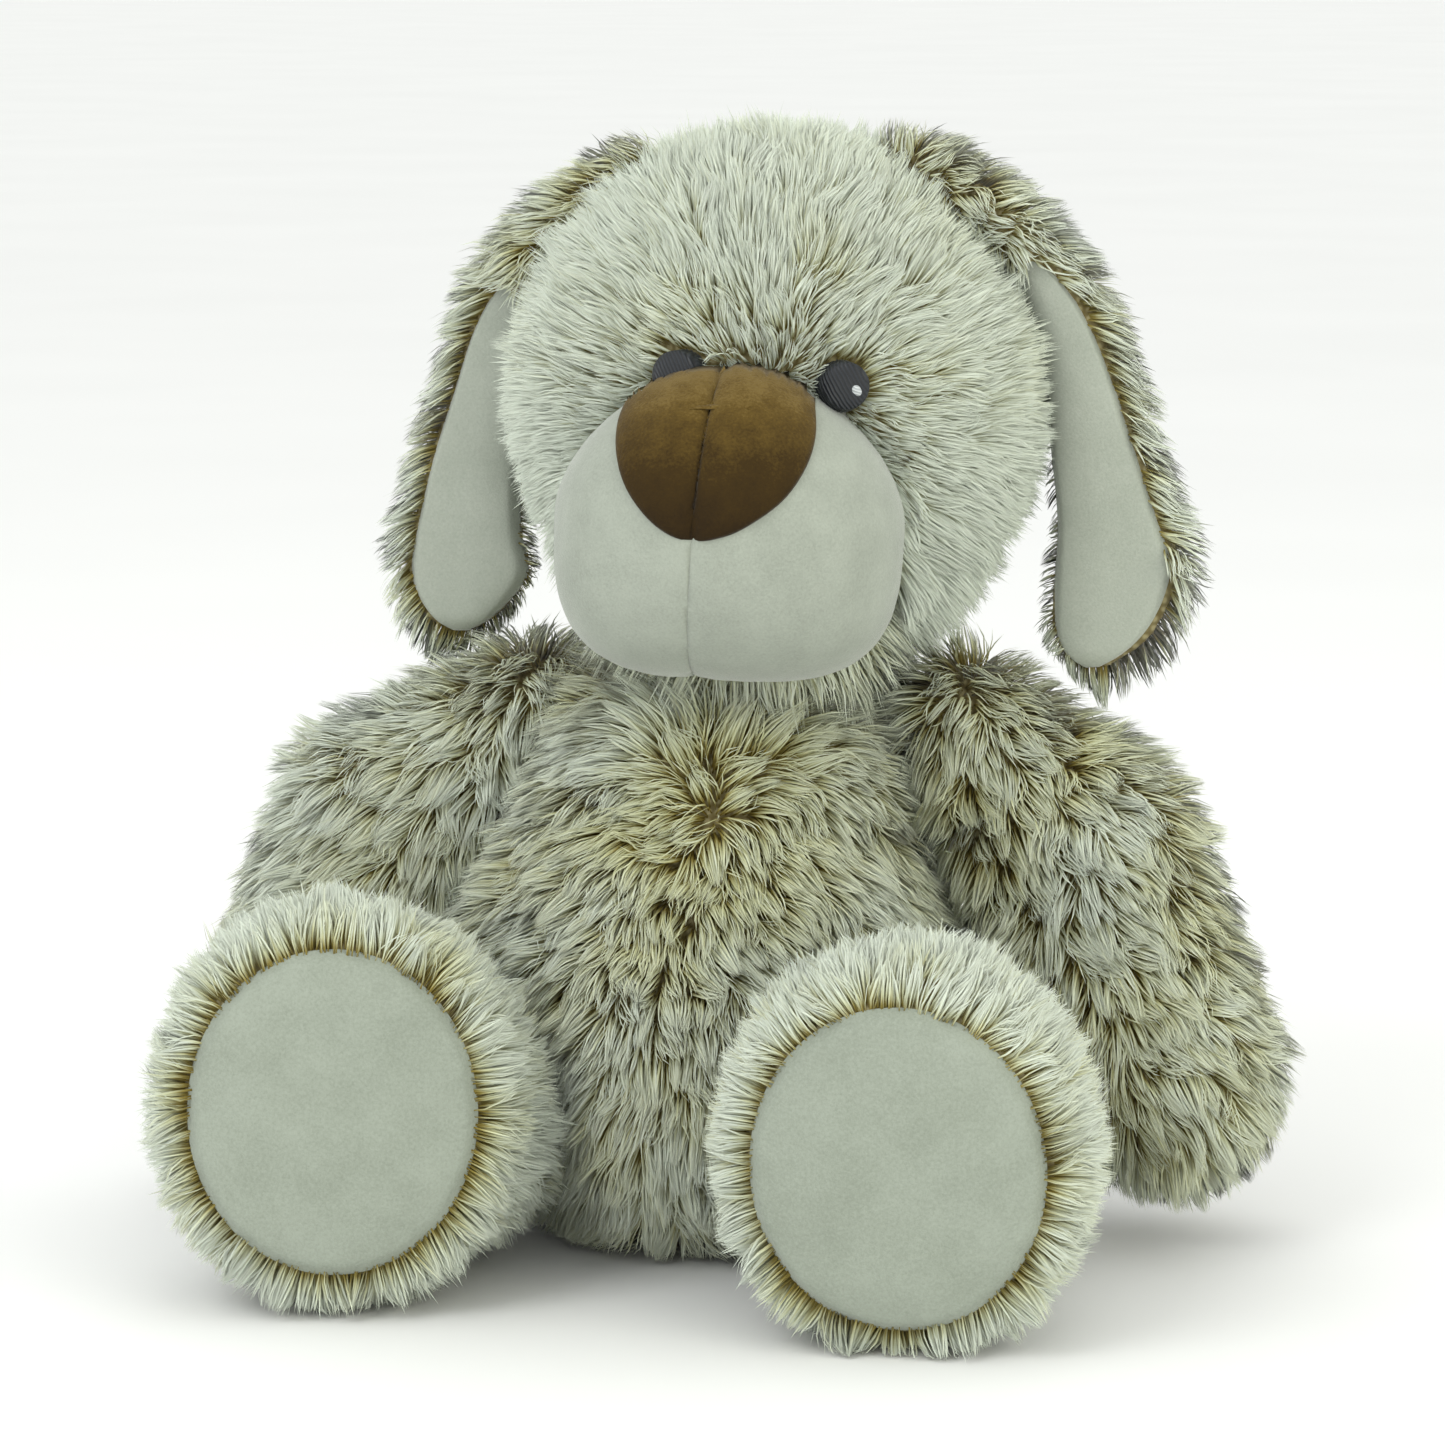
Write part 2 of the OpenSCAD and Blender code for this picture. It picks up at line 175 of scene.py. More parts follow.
def ramp(x, a, b):
    t = np.clip((x - a) / (b - a), 0, 1)
    return t * t * (3 - 2 * t)


def field(p, size, seed):
    """A smooth random value about -1 to 1 that changes over the given distance."""
    rng = np.random.default_rng(seed)
    k = unit(rng.normal(size=(14, 3))) * (2 * np.pi / size) * rng.uniform(0.5, 1.5, (14, 1))
    return np.sin(p @ k.T + rng.uniform(0, 2 * np.pi, 14)).mean(1) * 2.6


# ---------------------------------------------------------------- materials
def material(name, rough=0.9, sheen=0.0, sheen_rough=0.5, specular=0.25):
    mat = bpy.data.materials.new(name)
    mat.use_nodes = True
    nt = mat.node_tree
    bsdf = nt.nodes["Principled BSDF"]
    bsdf.inputs["Roughness"].default_value = rough
    bsdf.inputs["Specular IOR Level"].default_value = specular
    bsdf.inputs["Sheen Weight"].default_value = sheen
    bsdf.inputs["Sheen Roughness"].default_value = sheen_rough
    return mat, nt, bsdf


def node(nt, kind, **inputs):
    n = nt.nodes.new(kind)
    for key, value in inputs.items():
        n.inputs[key.replace("_", " ")].default_value = value
    return n


def maths(nt, op, a, b=None):
    n = nt.nodes.new("ShaderNodeMath")
    n.operation = op
    for i, v in enumerate((a, b)):
        if v is None:
            continue
        if isinstance(v, (int, float)):
            n.inputs[i].default_value = v
        else:
            nt.links.new(v, n.inputs[i])
    return n.outputs[0]


def colour_ramp(nt, fac, stops):
    n = nt.nodes.new("ShaderNodeValToRGB")
    while len(n.color_ramp.elements) < len(stops):
        n.color_ramp.elements.new(0.5)
    for e, (at, rgb) in zip(n.color_ramp.elements, stops):
        e.position = at
        e.color = (*rgb, 1)
    nt.links.new(fac, n.inputs[0])
    return n.outputs[0]


def place_noise(nt, scale, detail=2.0, rough=0.5):
    tc = nt.nodes.new("ShaderNodeTexCoord")
    n = node(nt, "ShaderNodeTexNoise", Scale=scale, Detail=detail, Roughness=rough)
    nt.links.new(tc.outputs["Object"], n.inputs["Vector"])
    return n.outputs["Fac"]


def bump(nt, bsdf, height, strength, distance):
    n = node(nt, "ShaderNodeBump", Strength=strength, Distance=distance)
    nt.links.new(height, n.inputs["Height"])
    nt.links.new(n.outputs[0], bsdf.inputs["Normal"])


def pile_material(name, root, low, mid, tip, grey):
    """Long pile: u of its own UV says how far up the brown root shows, v runs from root to tip."""
    mat, nt, bsdf = material(name, 0.75, 0.25, 0.4, 0.2)
    uv = nt.nodes.new("ShaderNodeUVMap")
    uv.uv_map = PILE_UV
    xyz = nt.nodes.new("ShaderNodeSeparateXYZ")
    nt.links.new(uv.outputs[0], xyz.inputs[0])
    u, v = xyz.outputs[0], xyz.outputs[1]
    hair = nt.nodes.new("ShaderNodeTexNoise")
    hair.noise_dimensions = "1D"
    hair.inputs["Scale"].default_value = 140
    hair.inputs["Detail"].default_value = 1
    nt.links.new(u, hair.inputs["W"])
    wobble = maths(nt, "MULTIPLY", maths(nt, "SUBTRACT", hair.outputs["Fac"], 0.5), 0.35)
    lift = maths(nt, "MULTIPLY", maths(nt, "SUBTRACT", u, 0.5), 0.55)
    along = maths(nt, "SUBTRACT", maths(nt, "SUBTRACT", v, lift), wobble)
    colour = colour_ramp(nt, along, [(0.0, root), (0.22, low), (0.46, mid), (0.72, tip), (1.0, grey)])
    tone = nt.nodes.new("ShaderNodeTexNoise")
    tone.noise_dimensions = "1D"
    tone.inputs["Scale"].default_value = 331
    nt.links.new(u, tone.inputs["W"])
    mix = nt.nodes.new("ShaderNodeMix")
    mix.data_type = "RGBA"
    mix.blend_type = "MULTIPLY"
    mix.inputs[0].default_value = 1
    shade = colour_ramp(nt, tone.outputs["Fac"], [(0.3, (0.8, 0.79, 0.76)), (0.7, (1, 1, 1))])
    nt.links.new(colour, mix.inputs[6])
    nt.links.new(shade, mix.inputs[7])
    warm = nt.nodes.new("ShaderNodeMix")
    warm.data_type = "RGBA"
    warm.blend_type = "MULTIPLY"
    warm.inputs[0].default_value = 1
    nt.links.new(mix.outputs[2], warm.inputs[6])
    nt.links.new(colour_ramp(nt, u, [(0.3, (0.97, 1, 0.98)), (0.75, (1, 0.99, 0.80))]), warm.inputs[7])
    nt.links.new(warm.outputs[2], bsdf.inputs["Base Color"])
    facing = nt.nodes.new("ShaderNodeAttribute")
    facing.attribute_name = "pile_normal"
    turn = nt.nodes.new("ShaderNodeVectorTransform")
    turn.vector_type = "NORMAL"
    turn.convert_from, turn.convert_to = "OBJECT", "WORLD"
    nt.links.new(facing.outputs["Vector"], turn.inputs[0])
    nt.links.new(turn.outputs[0], bsdf.inputs["Normal"])
    return mat


def short_material(name, dark, light, fine=1500, coarse=90, height=0.00035, sheen=0.5):
    """Short velvety pile: fine fuzz, slow nap changes and a soft sheen."""
    mat, nt, bsdf = material(name, 0.95, sheen, 0.35, 0.1)
    fuzz = place_noise(nt, fine, 4, 0.7)
    nap = place_noise(nt, coarse, 3, 0.55)
    both = maths(nt, "ADD", maths(nt, "MULTIPLY", fuzz, 0.6), maths(nt, "MULTIPLY", nap, 0.4))
    nt.links.new(colour_ramp(nt, both, [(0.36, dark), (0.62, light)]), bsdf.inputs["Base Color"])
    bump(nt, bsdf, maths(nt, "ADD", fuzz, maths(nt, "MULTIPLY", nap, 0.6)), 0.5, height)
    return mat


def knit_material(name, dark, light, pitch=0.0012):
    """Knitted backing cloth under the pile."""
    mat, nt, bsdf = material(name, 0.95, 0.1, 0.5, 0.1)
    tc = nt.nodes.new("ShaderNodeTexCoord")
    waves = []
    for direction in ("X", "Z"):
        w = node(nt, "ShaderNodeTexWave", Scale=1 / (pitch * 6.283), Distortion=1.5, Detail=1.0)
        w.bands_direction = direction
        nt.links.new(tc.outputs["Object"], w.inputs["Vector"])
        waves.append(w.outputs["Fac"])
    weave = maths(nt, "MULTIPLY", *waves)
    both = maths(nt, "ADD", maths(nt, "MULTIPLY", weave, 0.5), maths(nt, "MULTIPLY", place_noise(nt, 220, 3), 0.5))
    nt.links.new(colour_ramp(nt, both, [(0.2, dark), (0.6, light)]), bsdf.inputs["Base Color"])
    bump(nt, bsdf, both, 0.6, 0.0004)
    return mat


def thread_material(name, dark, light, pitch=0.00045, turn=0.5):
    """Satin stitch: close parallel threads with a slight shine."""
    mat, nt, bsdf = material(name, 0.42, 0.1, 0.3, 0.5)
    tc = nt.nodes.new("ShaderNodeTexCoord")
    mapping = nt.nodes.new("ShaderNodeMapping")
    mapping.inputs["Rotation"].default_value = (0, turn, 0)
    nt.links.new(tc.outputs["Object"], mapping.inputs[0])
    w = node(nt, "ShaderNodeTexWave", Scale=1 / (pitch * 6.283), Distortion=2.0, Detail=2.0)
    nt.links.new(mapping.outputs[0], w.inputs["Vector"])
    nt.links.new(colour_ramp(nt, w.outputs["Fac"], [(0.1, dark), (0.9, light)]), bsdf.inputs["Base Color"])
    bump(nt, bsdf, w.outputs["Fac"], 0.7, 0.0003)
    return mat


def nose_material():
    mat, nt, bsdf = material("nose_short_pile", 0.9, 0.12, 0.35, 0.08)
    tc = nt.nodes.new("ShaderNodeTexCoord")
    xyz = nt.nodes.new("ShaderNodeSeparateXYZ")
    nt.links.new(tc.outputs["Object"], xyz.inputs[0])
    # Painted highlight and shade: the brown nose runs from dark at its bottom to light warm brown at its top, so its
    # upper side looks lit and its underside shaded; only the fuzz and nap noise is the pile's own variation.
    low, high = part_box("nose_left")
    height = nt.nodes.new("ShaderNodeMapRange")
    height.inputs["From Min"].default_value = low.z
    height.inputs["From Max"].default_value = high.z
    nt.links.new(xyz.outputs[2], height.inputs[0])
    fuzz = place_noise(nt, 1400, 4, 0.7)
    nap = place_noise(nt, 160, 4, 0.6)
    rough = maths(nt, "MULTIPLY", maths(nt, "SUBTRACT", maths(nt, "ADD", fuzz, nap), 1.0), 0.6)
    both = maths(nt, "ADD", height.outputs[0], rough)
    stops = [
        (0.0, (0.028, 0.017, 0.007)),
        (0.45, (0.045, 0.027, 0.008)),
        (0.8, (0.108, 0.068, 0.016)),
        (1.0, (0.17, 0.115, 0.035)),
    ]
    nt.links.new(colour_ramp(nt, both, stops), bsdf.inputs["Base Color"])
    bump(nt, bsdf, maths(nt, "ADD", fuzz, nap), 0.6, 0.0004)
    return mat


FUR = pile_material(
    "long_pile",
    root=(0.12, 0.085, 0.018),
    low=(0.28, 0.225, 0.07),
    mid=(0.60, 0.61, 0.42),
    tip=(0.72, 0.76, 0.665),
    grey=(0.75, 0.79, 0.71),
)
MUZZLE = short_material("muzzle_short_pile", (0.30, 0.325, 0.28), (0.38, 0.41, 0.355))
SOLE = short_material("sole_short_pile", (0.27, 0.30, 0.25), (0.345, 0.38, 0.325), 1300, 70)
LINING = short_material("ear_lining_pile", (0.35, 0.38, 0.325), (0.44, 0.47, 0.41), 1500, 50)
KNIT = knit_material("pile_backing", (0.14, 0.11, 0.045), (0.32, 0.28, 0.15))
EYE = thread_material("eye_satin_stitch", (0.002, 0.003, 0.006), (0.009, 0.012, 0.019))
WHITE = thread_material("highlight_thread", (0.40, 0.43, 0.45), (0.62, 0.65, 0.67), 0.0004, 1.2)
NOSE = nose_material()
FILL = short_material("polyester_fibre", (0.70, 0.70, 0.68), (0.88, 0.88, 0.86), 500, 60, 0.0015, 0.3)
POUCH = knit_material("pouch_weave", (0.45, 0.42, 0.34), (0.66, 0.63, 0.54), 0.0009)


def paint(ob, *mats):
    ob.data.materials.clear()
    for m in mats:
        ob.data.materials.append(m)
    return ob


# ---------------------------------------------------------------- long pile
class Cloth:
    """A skin that pile is planted on."""

    def __init__(self, ob):
        mesh = ob.data
        mesh.calc_loop_triangles()
        tri = np.empty(len(mesh.loop_triangles) * 3, int)
        mesh.loop_triangles.foreach_get("vertices", tri)
        self.tri = tri.reshape(-1, 3)
        self.co, self.no = coords(ob), coords(ob, "normal")
        a, b, c = (self.co[self.tri[:, i]] for i in range(3))
        self.area = np.linalg.norm(np.cross(b - a, c - a), axis=1) / 2

    def plant(self, per_cm2, rng):
        count = int(self.area.sum() * 1e4 * per_cm2)
        at = rng.choice(len(self.tri), count, p=self.area / self.area.sum())
        r, s = np.sqrt(rng.random(count)), rng.random(count)
        w = np.stack([1 - r, r * (1 - s), r * s], 1)[:, :, None]
        t = self.tri[at]
        return (self.co[t] * w).sum(1), unit((self.no[t] * w).sum(1))


# shares of a strand's length where its points lie, and its width there
STEPS = np.array([0, 0.36, 0.7, 1.0])
WIDE = np.array([0.85, 1.0, 0.75])
PILE_WIDTH = 0.42 * MM
BODY_PILE = {
    "per_cm2": 165,
    "lift": (20, 50),
    "wander": 0.85,
    "gather": 0.7,
    "tuft": 4.4 * MM,
    "width": PILE_WIDTH,
    "swirl": 13 * MM,
}


def pile(name, cloth, comb, seed, per_cm2=110, length=15 * MM, lift=(28, 68), keep=None, brown=0.7,
         tuft=5 * MM, gather=0.55, wander=0.55, width=0.5 * MM, droop=0.12, swirl=22 * MM):
    """Plants strands on the cloth as thin tapered ribbons, combed, gathered in tufts and bent by their weight."""
    rng = np.random.default_rng(seed)
    p, n = cloth.plant(per_cm2, rng)
    if keep is not None:
        chosen = rng.random(len(p)) < keep(p, n)
        p, n = p[chosen], n[chosen]
    count = len(p)
    t = comb(p, n)
    t = unit(t - n * (t * n).sum(1, keepdims=True))
    side = np.cross(n, t)
    turn = field(p, swirl, seed + 1) * wander + rng.normal(0, 0.16, count)
    t = t * np.cos(turn)[:, None] + side * np.sin(turn)[:, None]
    size = (length(p) if callable(length) else np.full(count, length)) * (1 + 0.13 * rng.normal(size=count))
    angle0 = np.radians(lift[0] + 12 * field(p, 13 * MM, seed + 2) + 7 * rng.normal(size=count))
    angle1 = np.radians(lift[1] + 12 * field(p, 17 * MM, seed + 3) + 7 * rng.normal(size=count))
    line = np.zeros((count, 4, 3))
    line[:, 0] = p
    for i in range(1, 4):
        mid = (STEPS[i] + STEPS[i - 1]) / 2
        a = angle0 + (angle1 - angle0) * mid
        step = n * np.cos(a)[:, None] + t * np.sin(a)[:, None] - np.array([0, 0, droop * 2 * mid])
        line[:, i] = line[:, i - 1] + unit(step) * (size * (STEPS[i] - STEPS[i - 1]))[:, None]
    sites = rng.random(count) < min(1, 1 / (per_cm2 * (tuft * 100) ** 2))
    heads = np.flatnonzero(sites)
    tree = kdtree.KDTree(len(heads))
    for i, h in enumerate(heads):
        tree.insert(p[h], i)
    tree.balance()
    near = heads[np.array([tree.find(q)[1] for q in p])]
    offset = (p - p[near])[:, None] * (1 - 0.8 * STEPS ** 1.2)[None, :, None]
    grip = gather * (1 + 0.5 * rng.normal(size=(count, 1))).clip(0.1, 1.6)
    pull = (grip * STEPS[None] ** 1.2)[:, :, None].clip(0, 0.95)
    line = line * (1 - pull) + (line[near] + offset) * pull
    heading = unit(np.diff(line, axis=1))
    heading = np.concatenate([heading, heading[:, -1:]], 1)
    face = n[:, None] + rng.normal(0, 0.35, (count, 1, 3))
    across = unit(np.cross(face, heading))
    wide = (width * (1 + 0.25 * rng.normal(size=count)).clip(0.5, 1.6))[:, None] * WIDE[None]
    half = across[:, :3] * wide[:, :, None] / 2
    verts = np.empty((count, 7, 3))
    verts[:, 0:6:2] = line[:, :3] - half
    verts[:, 1:6:2] = line[:, :3] + half
    verts[:, 6] = line[:, 3]
    verts[:, :, 2] = np.maximum(verts[:, :, 2], CAD_LOW.z + 0.4 * MM)
    soft = n[:, None] - heading * (n[:, None] * heading).sum(2, keepdims=True)
    soft = unit(0.6 * n[:, None] + 0.6 * unit(soft) + rng.normal(0, 0.2, (count, 1, 3)))
    shade = np.empty((count, 7, 3))
    shade[:, 0:6:2] = shade[:, 1:6:2] = soft[:, :3]
    shade[:, 6] = soft[:, 3]
    mesh = bpy.data.meshes.new(name)
    mesh.vertices.add(count * 7)
    mesh.vertices.foreach_set("co", verts.ravel())
    pattern = np.array([0, 1, 3, 2, 2, 3, 5, 4, 4, 5, 6])
    mesh.loops.add(count * 11)
    corners = np.arange(count)[:, None] * 7 + pattern[None]
    mesh.loops.foreach_set("vertex_index", corners.ravel().astype(np.int32))
    mesh.polygons.add(count * 3)
    starts = np.arange(count)[:, None] * 11 + np.array([0, 4, 8])[None]
    mesh.polygons.foreach_set("loop_start", starts.ravel().astype(np.int32))
    mesh.update(calc_edges=True)
    mesh.shade_smooth()
    tone = (brown(p) if callable(brown) else np.full(count, brown)) + rng.normal(0, 0.06, count)
    tone = tone.clip(0.02, 0.97)
    u = np.repeat(tone[:, None], 7, 1) + np.array([-1, 1, -1, 1, -1, 1, 0]) * 0.004
    v = np.array([0, 0, STEPS[1], STEPS[1], STEPS[2], STEPS[2], 1]) * 0.96 + 0.02
    uv = np.stack([u[:, pattern], np.repeat(v[None, pattern], count, 0)], 2)
    layer = mesh.uv_layers.new(name=PILE_UV)
    layer.data.foreach_set("uv", uv.astype(np.float32).ravel())
    attr = mesh.attributes.new("pile_normal", "FLOAT_VECTOR", "POINT")
    attr.data.foreach_set("vector", shade.astype(np.float32).ravel())
    mesh.normals_split_custom_set_from_vertices(shade.reshape(-1, 3).tolist())
    return paint(link(name, mesh), FUR)


def cut(ob, point, normal):
    """Adds a clean line of edges where a plane crosses the mesh."""
    bm = bmesh.new()
    bm.from_mesh(ob.data)
    geom = bm.verts[:] + bm.edges[:] + bm.faces[:]
    bmesh.ops.bisect_plane(bm, geom=geom, plane_co=point, plane_no=normal, dist=1e-6)
    bm.to_mesh(ob.data)
    bm.free()


def panels(ob, rules):
    """Splits a closed skin along seams: rules maps a name to a test on face centres. Returns the panel objects."""
    mesh = ob.data
    mid = np.empty(len(mesh.polygons) * 3)
    mesh.polygons.foreach_get("center", mid)
    mid = mid.reshape(-1, 3)
    out = {}
    for name, test in rules.items():
        keep = test(mid)
        bm = bmesh.new()
        bm.from_mesh(mesh)
        bm.faces.ensure_lookup_table()
        bmesh.ops.delete(bm, geom=[f for f in bm.faces if not keep[f.index]], context="FACES")
        part = bpy.data.meshes.new(name)
        bm.to_mesh(part)
        bm.free()
        out[name] = link(name, part)
        out[name].data.shade_smooth()
    return out


def backed(ob, thick=1.0 * MM):
    m = ob.modifiers.new("cloth_thickness", "SOLIDIFY")
    m.thickness = thick
    m.offset = -1
    settle(ob)
    return ob


def fit(ob, body, nodes):
    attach(ob, body)
    if nodes:
        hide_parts(*nodes)
    return ob


def stuffing(name, node_name, body, voxel=4 * MM, lump=1.2 * MM):
    """Lumpy fibre filling inside a cover."""
    ob = cad_solid(name, [node_name])
    remesh(ob, voxel, 2)
    co = coords(ob)
    set_coords(ob, co - coords(ob, "normal") * (lump * (1 + field(co, 14 * MM, 5)))[:, None])
    paint(ob, FILL)
    return fit(ob, body, [node_name])


# ---------------------------------------------------------------- head
HEAD_YAW, HEAD_ROLL, LEAN = math.radians(5), math.radians(3), math.radians(7)
low_l, high_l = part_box("head_fur_left")
low_r, high_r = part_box("head_fur_right")
HEAD_R = (high_l.x - low_r.x) / 2
HEAD_AT = Vector(((high_l.x + low_r.x) / 2, max(high_l.y, high_r.y) - HEAD_R, max(high_l.z, high_r.z) - HEAD_R))
HEAD = Matrix.Translation(HEAD_AT) @ Matrix.Rotation(HEAD_ROLL, 4, "Y") @ Matrix.Rotation(HEAD_YAW, 4, "Z")
HEAD_INV = HEAD.inverted()


def transformed(p, m):
    a = np.array(m)
    return p @ a[:3, :3].T + a[:3, 3]


MUZZLE_AT = np.array([0, -59, -25]) * MM
MUZZLE_HALF, MUZZLE_R = 42 * MM, 37 * MM


def muzzle_reach(q):
    """Below 1 inside the muzzle's outline, for points in the head's frame."""
    d = (q - MUZZLE_AT) / np.array([MUZZLE_HALF, MUZZLE_R, MUZZLE_R])
    d[:, 0] += 0.035
    d[:, 2] *= np.where(d[:, 2] < 0, 0.93, 1)
    corner = np.where(d[:, 2] < 0, 3.2, 1.75)
    return (np.abs(d[:, 0]) ** corner + np.abs(d[:, 2]) ** corner) ** (1 / corner)


EYE_AT = {"left": (23.8, 9.4), "right": (-17.4, 9.7)}


def eye_middle(side):
    """The middle of an eye on the head's ball, in the head's frame."""
    x, z = EYE_AT[side]
    return np.array([x * MM, -math.sqrt(HEAD_R ** 2 - (x * MM) ** 2 - (z * MM) ** 2), z * MM])


skin_in = 8 * MM
head_skin = cad_solid("head_skin", ["head_fur_left", "head_fur_right"], hull=True)
remesh(head_skin, 3 * MM, 4)
inset(head_skin, skin_in)
puff(head_skin, 1.5 * MM)
head_cloth = Cloth(head_skin)


def head_comb(p, n):
    q = transformed(p, HEAD_INV)
    away = q - np.array([0, -62, -12]) * MM
    away[:, 1] *= 0.6
    down = np.array([0, 0, -1]) * ramp(q[:, 1], 5 * MM, 50 * MM)[:, None] * 1.6
    low = np.array([0, 0.5, -0.7]) * ramp(-q[:, 2], 5 * MM, 50 * MM)[:, None]
    return unit(away) + down + low


def head_keep(p, n):
    q = transformed(p, HEAD_INV)
    front = q[:, 1] < -15 * MM
    inside = front & (muzzle_reach(q) < 0.86)
    keep = np.where(inside, 0.0, 1.0)
    for s in SIDES:
        away = unit(q) - unit(eye_middle(s)[None])
        keep = np.where(np.linalg.norm(away, axis=1) * HEAD_R < 7 * MM, 0.0, keep)
    return keep


def head_brown(p):
    q = transformed(p, HEAD_INV)
    cheek = ramp(-q[:, 2], -12 * MM, 14 * MM) * ramp(-q[:, 1], -30 * MM, 5 * MM)
    rim = 1 - ramp(muzzle_reach(q), 0.95, 1.25)
    return 0.3 - 0.2 * cheek - 0.18 * rim + 0.1 * field(p, 25 * MM, 8)


def head_length(p):
    q = transformed(p, HEAD_INV)
    rim = ramp(muzzle_reach(q), 1.0, 1.5)
    face = ramp(-q[:, 1], 10 * MM, 45 * MM)
    chin = ramp(-q[:, 2], 25 * MM, 50 * MM)
    return (13.5 - 3.5 * face * (1 - rim) - 1.5 * face + 5 * chin) * MM


for side, s in SIDES.items():
    def half(mid, s=s):
        return transformed(mid, HEAD_INV)[:, 0] * s > 0

    def half_keep(p, n, s=s):
        return head_keep(p, n) * (transformed(p, HEAD_INV)[:, 0] * s > 0)

    skin = panels(head_skin, {"head_backing_" + side: half})["head_backing_" + side]
    paint(backed(skin), KNIT)
    fit(skin, "head", ["head_fur_" + side])
    fur = pile("head_pile_" + side, head_cloth, head_comb, 11 + s, keep=half_keep, per_cm2=195,
               brown=head_brown, length=head_length, lift=(18, 46), wander=0.6, gather=0.5, tuft=3.6 * MM,
               width=PILE_WIDTH, swirl=15 * MM)
    fit(fur, "head", [])
bpy.data.objects.remove(head_skin)
stuffing("head_fibre", "head_filling", "head")

# muzzle: two short-pile halves with a seam down the middle
muzzle = cad_solid("muzzle_skin", ["muzzle_left", "muzzle_right"], hull=True)
remesh(muzzle, 1.6 * MM, 6)
q = transformed(coords(muzzle), HEAD_INV) - MUZZLE_AT
flat = np.hypot(q[:, 0] / MUZZLE_HALF, q[:, 2] / MUZZLE_R)
c = np.abs(q[:, 0] / MUZZLE_HALF) / np.maximum(flat, 1e-9)
d = np.abs(q[:, 2] / MUZZLE_R) / np.maximum(flat, 1e-9)
full = np.where(q[:, 2] < 0, 3.2, 1.75)
fat = (c ** full + d ** full) ** (-1 / full)
fat = 1 + (fat - 1) * ramp(flat, 0.2, 0.9)
q[:, 0] = q[:, 0] * fat * 1.02 - 1.5 * MM
q[:, 2] *= fat * np.where(q[:, 2] < 0, 1.07, 1)
set_coords(muzzle, transformed(q + MUZZLE_AT, HEAD))
puff(muzzle, 2 * MM)


def seam_off(q):
    """Distance to the left of the muzzle's and nose's seam, in the head's frame."""
    return q[:, 0] + 7.3 * MM - 0.04 * (q[:, 2] + 26 * MM)


SEAM_POINT = HEAD @ Vector((-7.3 * MM, 0, -26 * MM))
SEAM_NORMAL = (HEAD.to_3x3() @ Vector((1, 0, -0.04))).normalized()
cut(muzzle, SEAM_POINT, SEAM_NORMAL)


off = seam_off(transformed(coords(muzzle), HEAD_INV))
groove = np.exp(-((off / (0.8 * MM)) ** 2)) * 0.5 * MM + np.exp(-((off / (5 * MM)) ** 2)) * 0.6 * MM
set_coords(muzzle, coords(muzzle) - coords(muzzle, "normal") * groove[:, None])
muzzle_tree = BVHTree.FromObject(muzzle, bpy.context.evaluated_depsgraph_get())
for side, s in SIDES.items():
    def half(mid, s=s):
        return seam_off(transformed(mid, HEAD_INV)) * s > 0

    part = panels(muzzle, {"muzzle_panel_" + side: half})["muzzle_panel_" + side]
    paint(backed(part, 1.5 * MM), MUZZLE)
    fit(part, "head", ["muzzle_" + side])
bpy.data.objects.remove(muzzle)


def patch(name, outline, at, rings, turns, rise, edge, tree, dent=None):
    """A raised sewn patch laid on a surface.

    outline(angle) is its radius round `at`, its centre in the head's frame.
    """
    verts, faces = [], []
    ahead = (HEAD.to_3x3() @ Vector((0, 1, 0))).normalized()
    for i in range(rings + 1):
        r = i / rings
        for j in range(turns):
            a = 2 * math.pi * j / turns
            reach = outline(a) * r
            x, z = at[0] + reach * math.cos(a), at[1] + reach * math.sin(a)
            start = HEAD @ Vector((x, -0.14, z))
            hit, normal, _, _ = tree.ray_cast(start, ahead)
            if hit is None:
                hit, normal, _, _ = tree.find_nearest(HEAD @ Vector((x, at[2], z)))
            h = rise * max(0, 1 - r ** edge) ** 0.5 - (0.4 * MM if i == rings else 0)
            if dent:
                h -= dent(x, z)
            verts.append(hit + normal * h)
            if i == 0:
                break
    for j in range(turns):
        faces.append((0, 1 + j, 1 + (j + 1) % turns))
    for i in range(rings - 1):
        a, b = 1 + i * turns, 1 + (i + 1) * turns
        for j in range(turns):
            k = (j + 1) % turns
            faces.append((a + j, b + j, b + k, a + k))
    ob = new_object(name, verts, faces)
    bm = bmesh.new()
    bm.from_mesh(ob.data)
    bmesh.ops.recalc_face_normals(bm, faces=bm.faces)
    bm.normal_update()
    middle = bm.faces[0].normal
    if middle.dot(ahead) > 0:
        bmesh.ops.reverse_faces(bm, faces=bm.faces)
    bm.to_mesh(ob.data)
    bm.free()
    return ob


# points round the nose, x and z from the head's middle (mm)
NOSE_CORNERS = [
    (-29.5, -1), (-27, 8), (-19.5, 14), (-8, 17), (3, 16.5), (12.5, 11.5), (18, 4), (19.5, -3),
    (17, -11), (8, -20.5), (-3.5, -26), (-7.5, -27.5), (-11.5, -26), (-21, -19.5), (-27.5, -10),
]
NOSE_AT = (-5.5 * MM, -5 * MM)


def nose_outline(a):
    """Radius of the rounded three-cornered nose at an angle round its middle."""
    offsets = [(x * MM - NOSE_AT[0], z * MM - NOSE_AT[1]) for x, z in NOSE_CORNERS]
    points = sorted((math.atan2(z, x), math.hypot(z, x)) for x, z in offsets)
    angles = np.array([q[0] for q in points])
    radii = np.array([q[1] for q in points])
    a = math.atan2(math.sin(a), math.cos(a))
    total = weight = 0.0
    for turn in np.linspace(-0.22, 0.22, 9):
        w = math.cos(turn * 6)
        b = math.atan2(math.sin(a + turn), math.cos(a + turn))
        total += w * float(np.interp(b, angles, radii, period=2 * math.pi))
        weight += w
    return total / weight


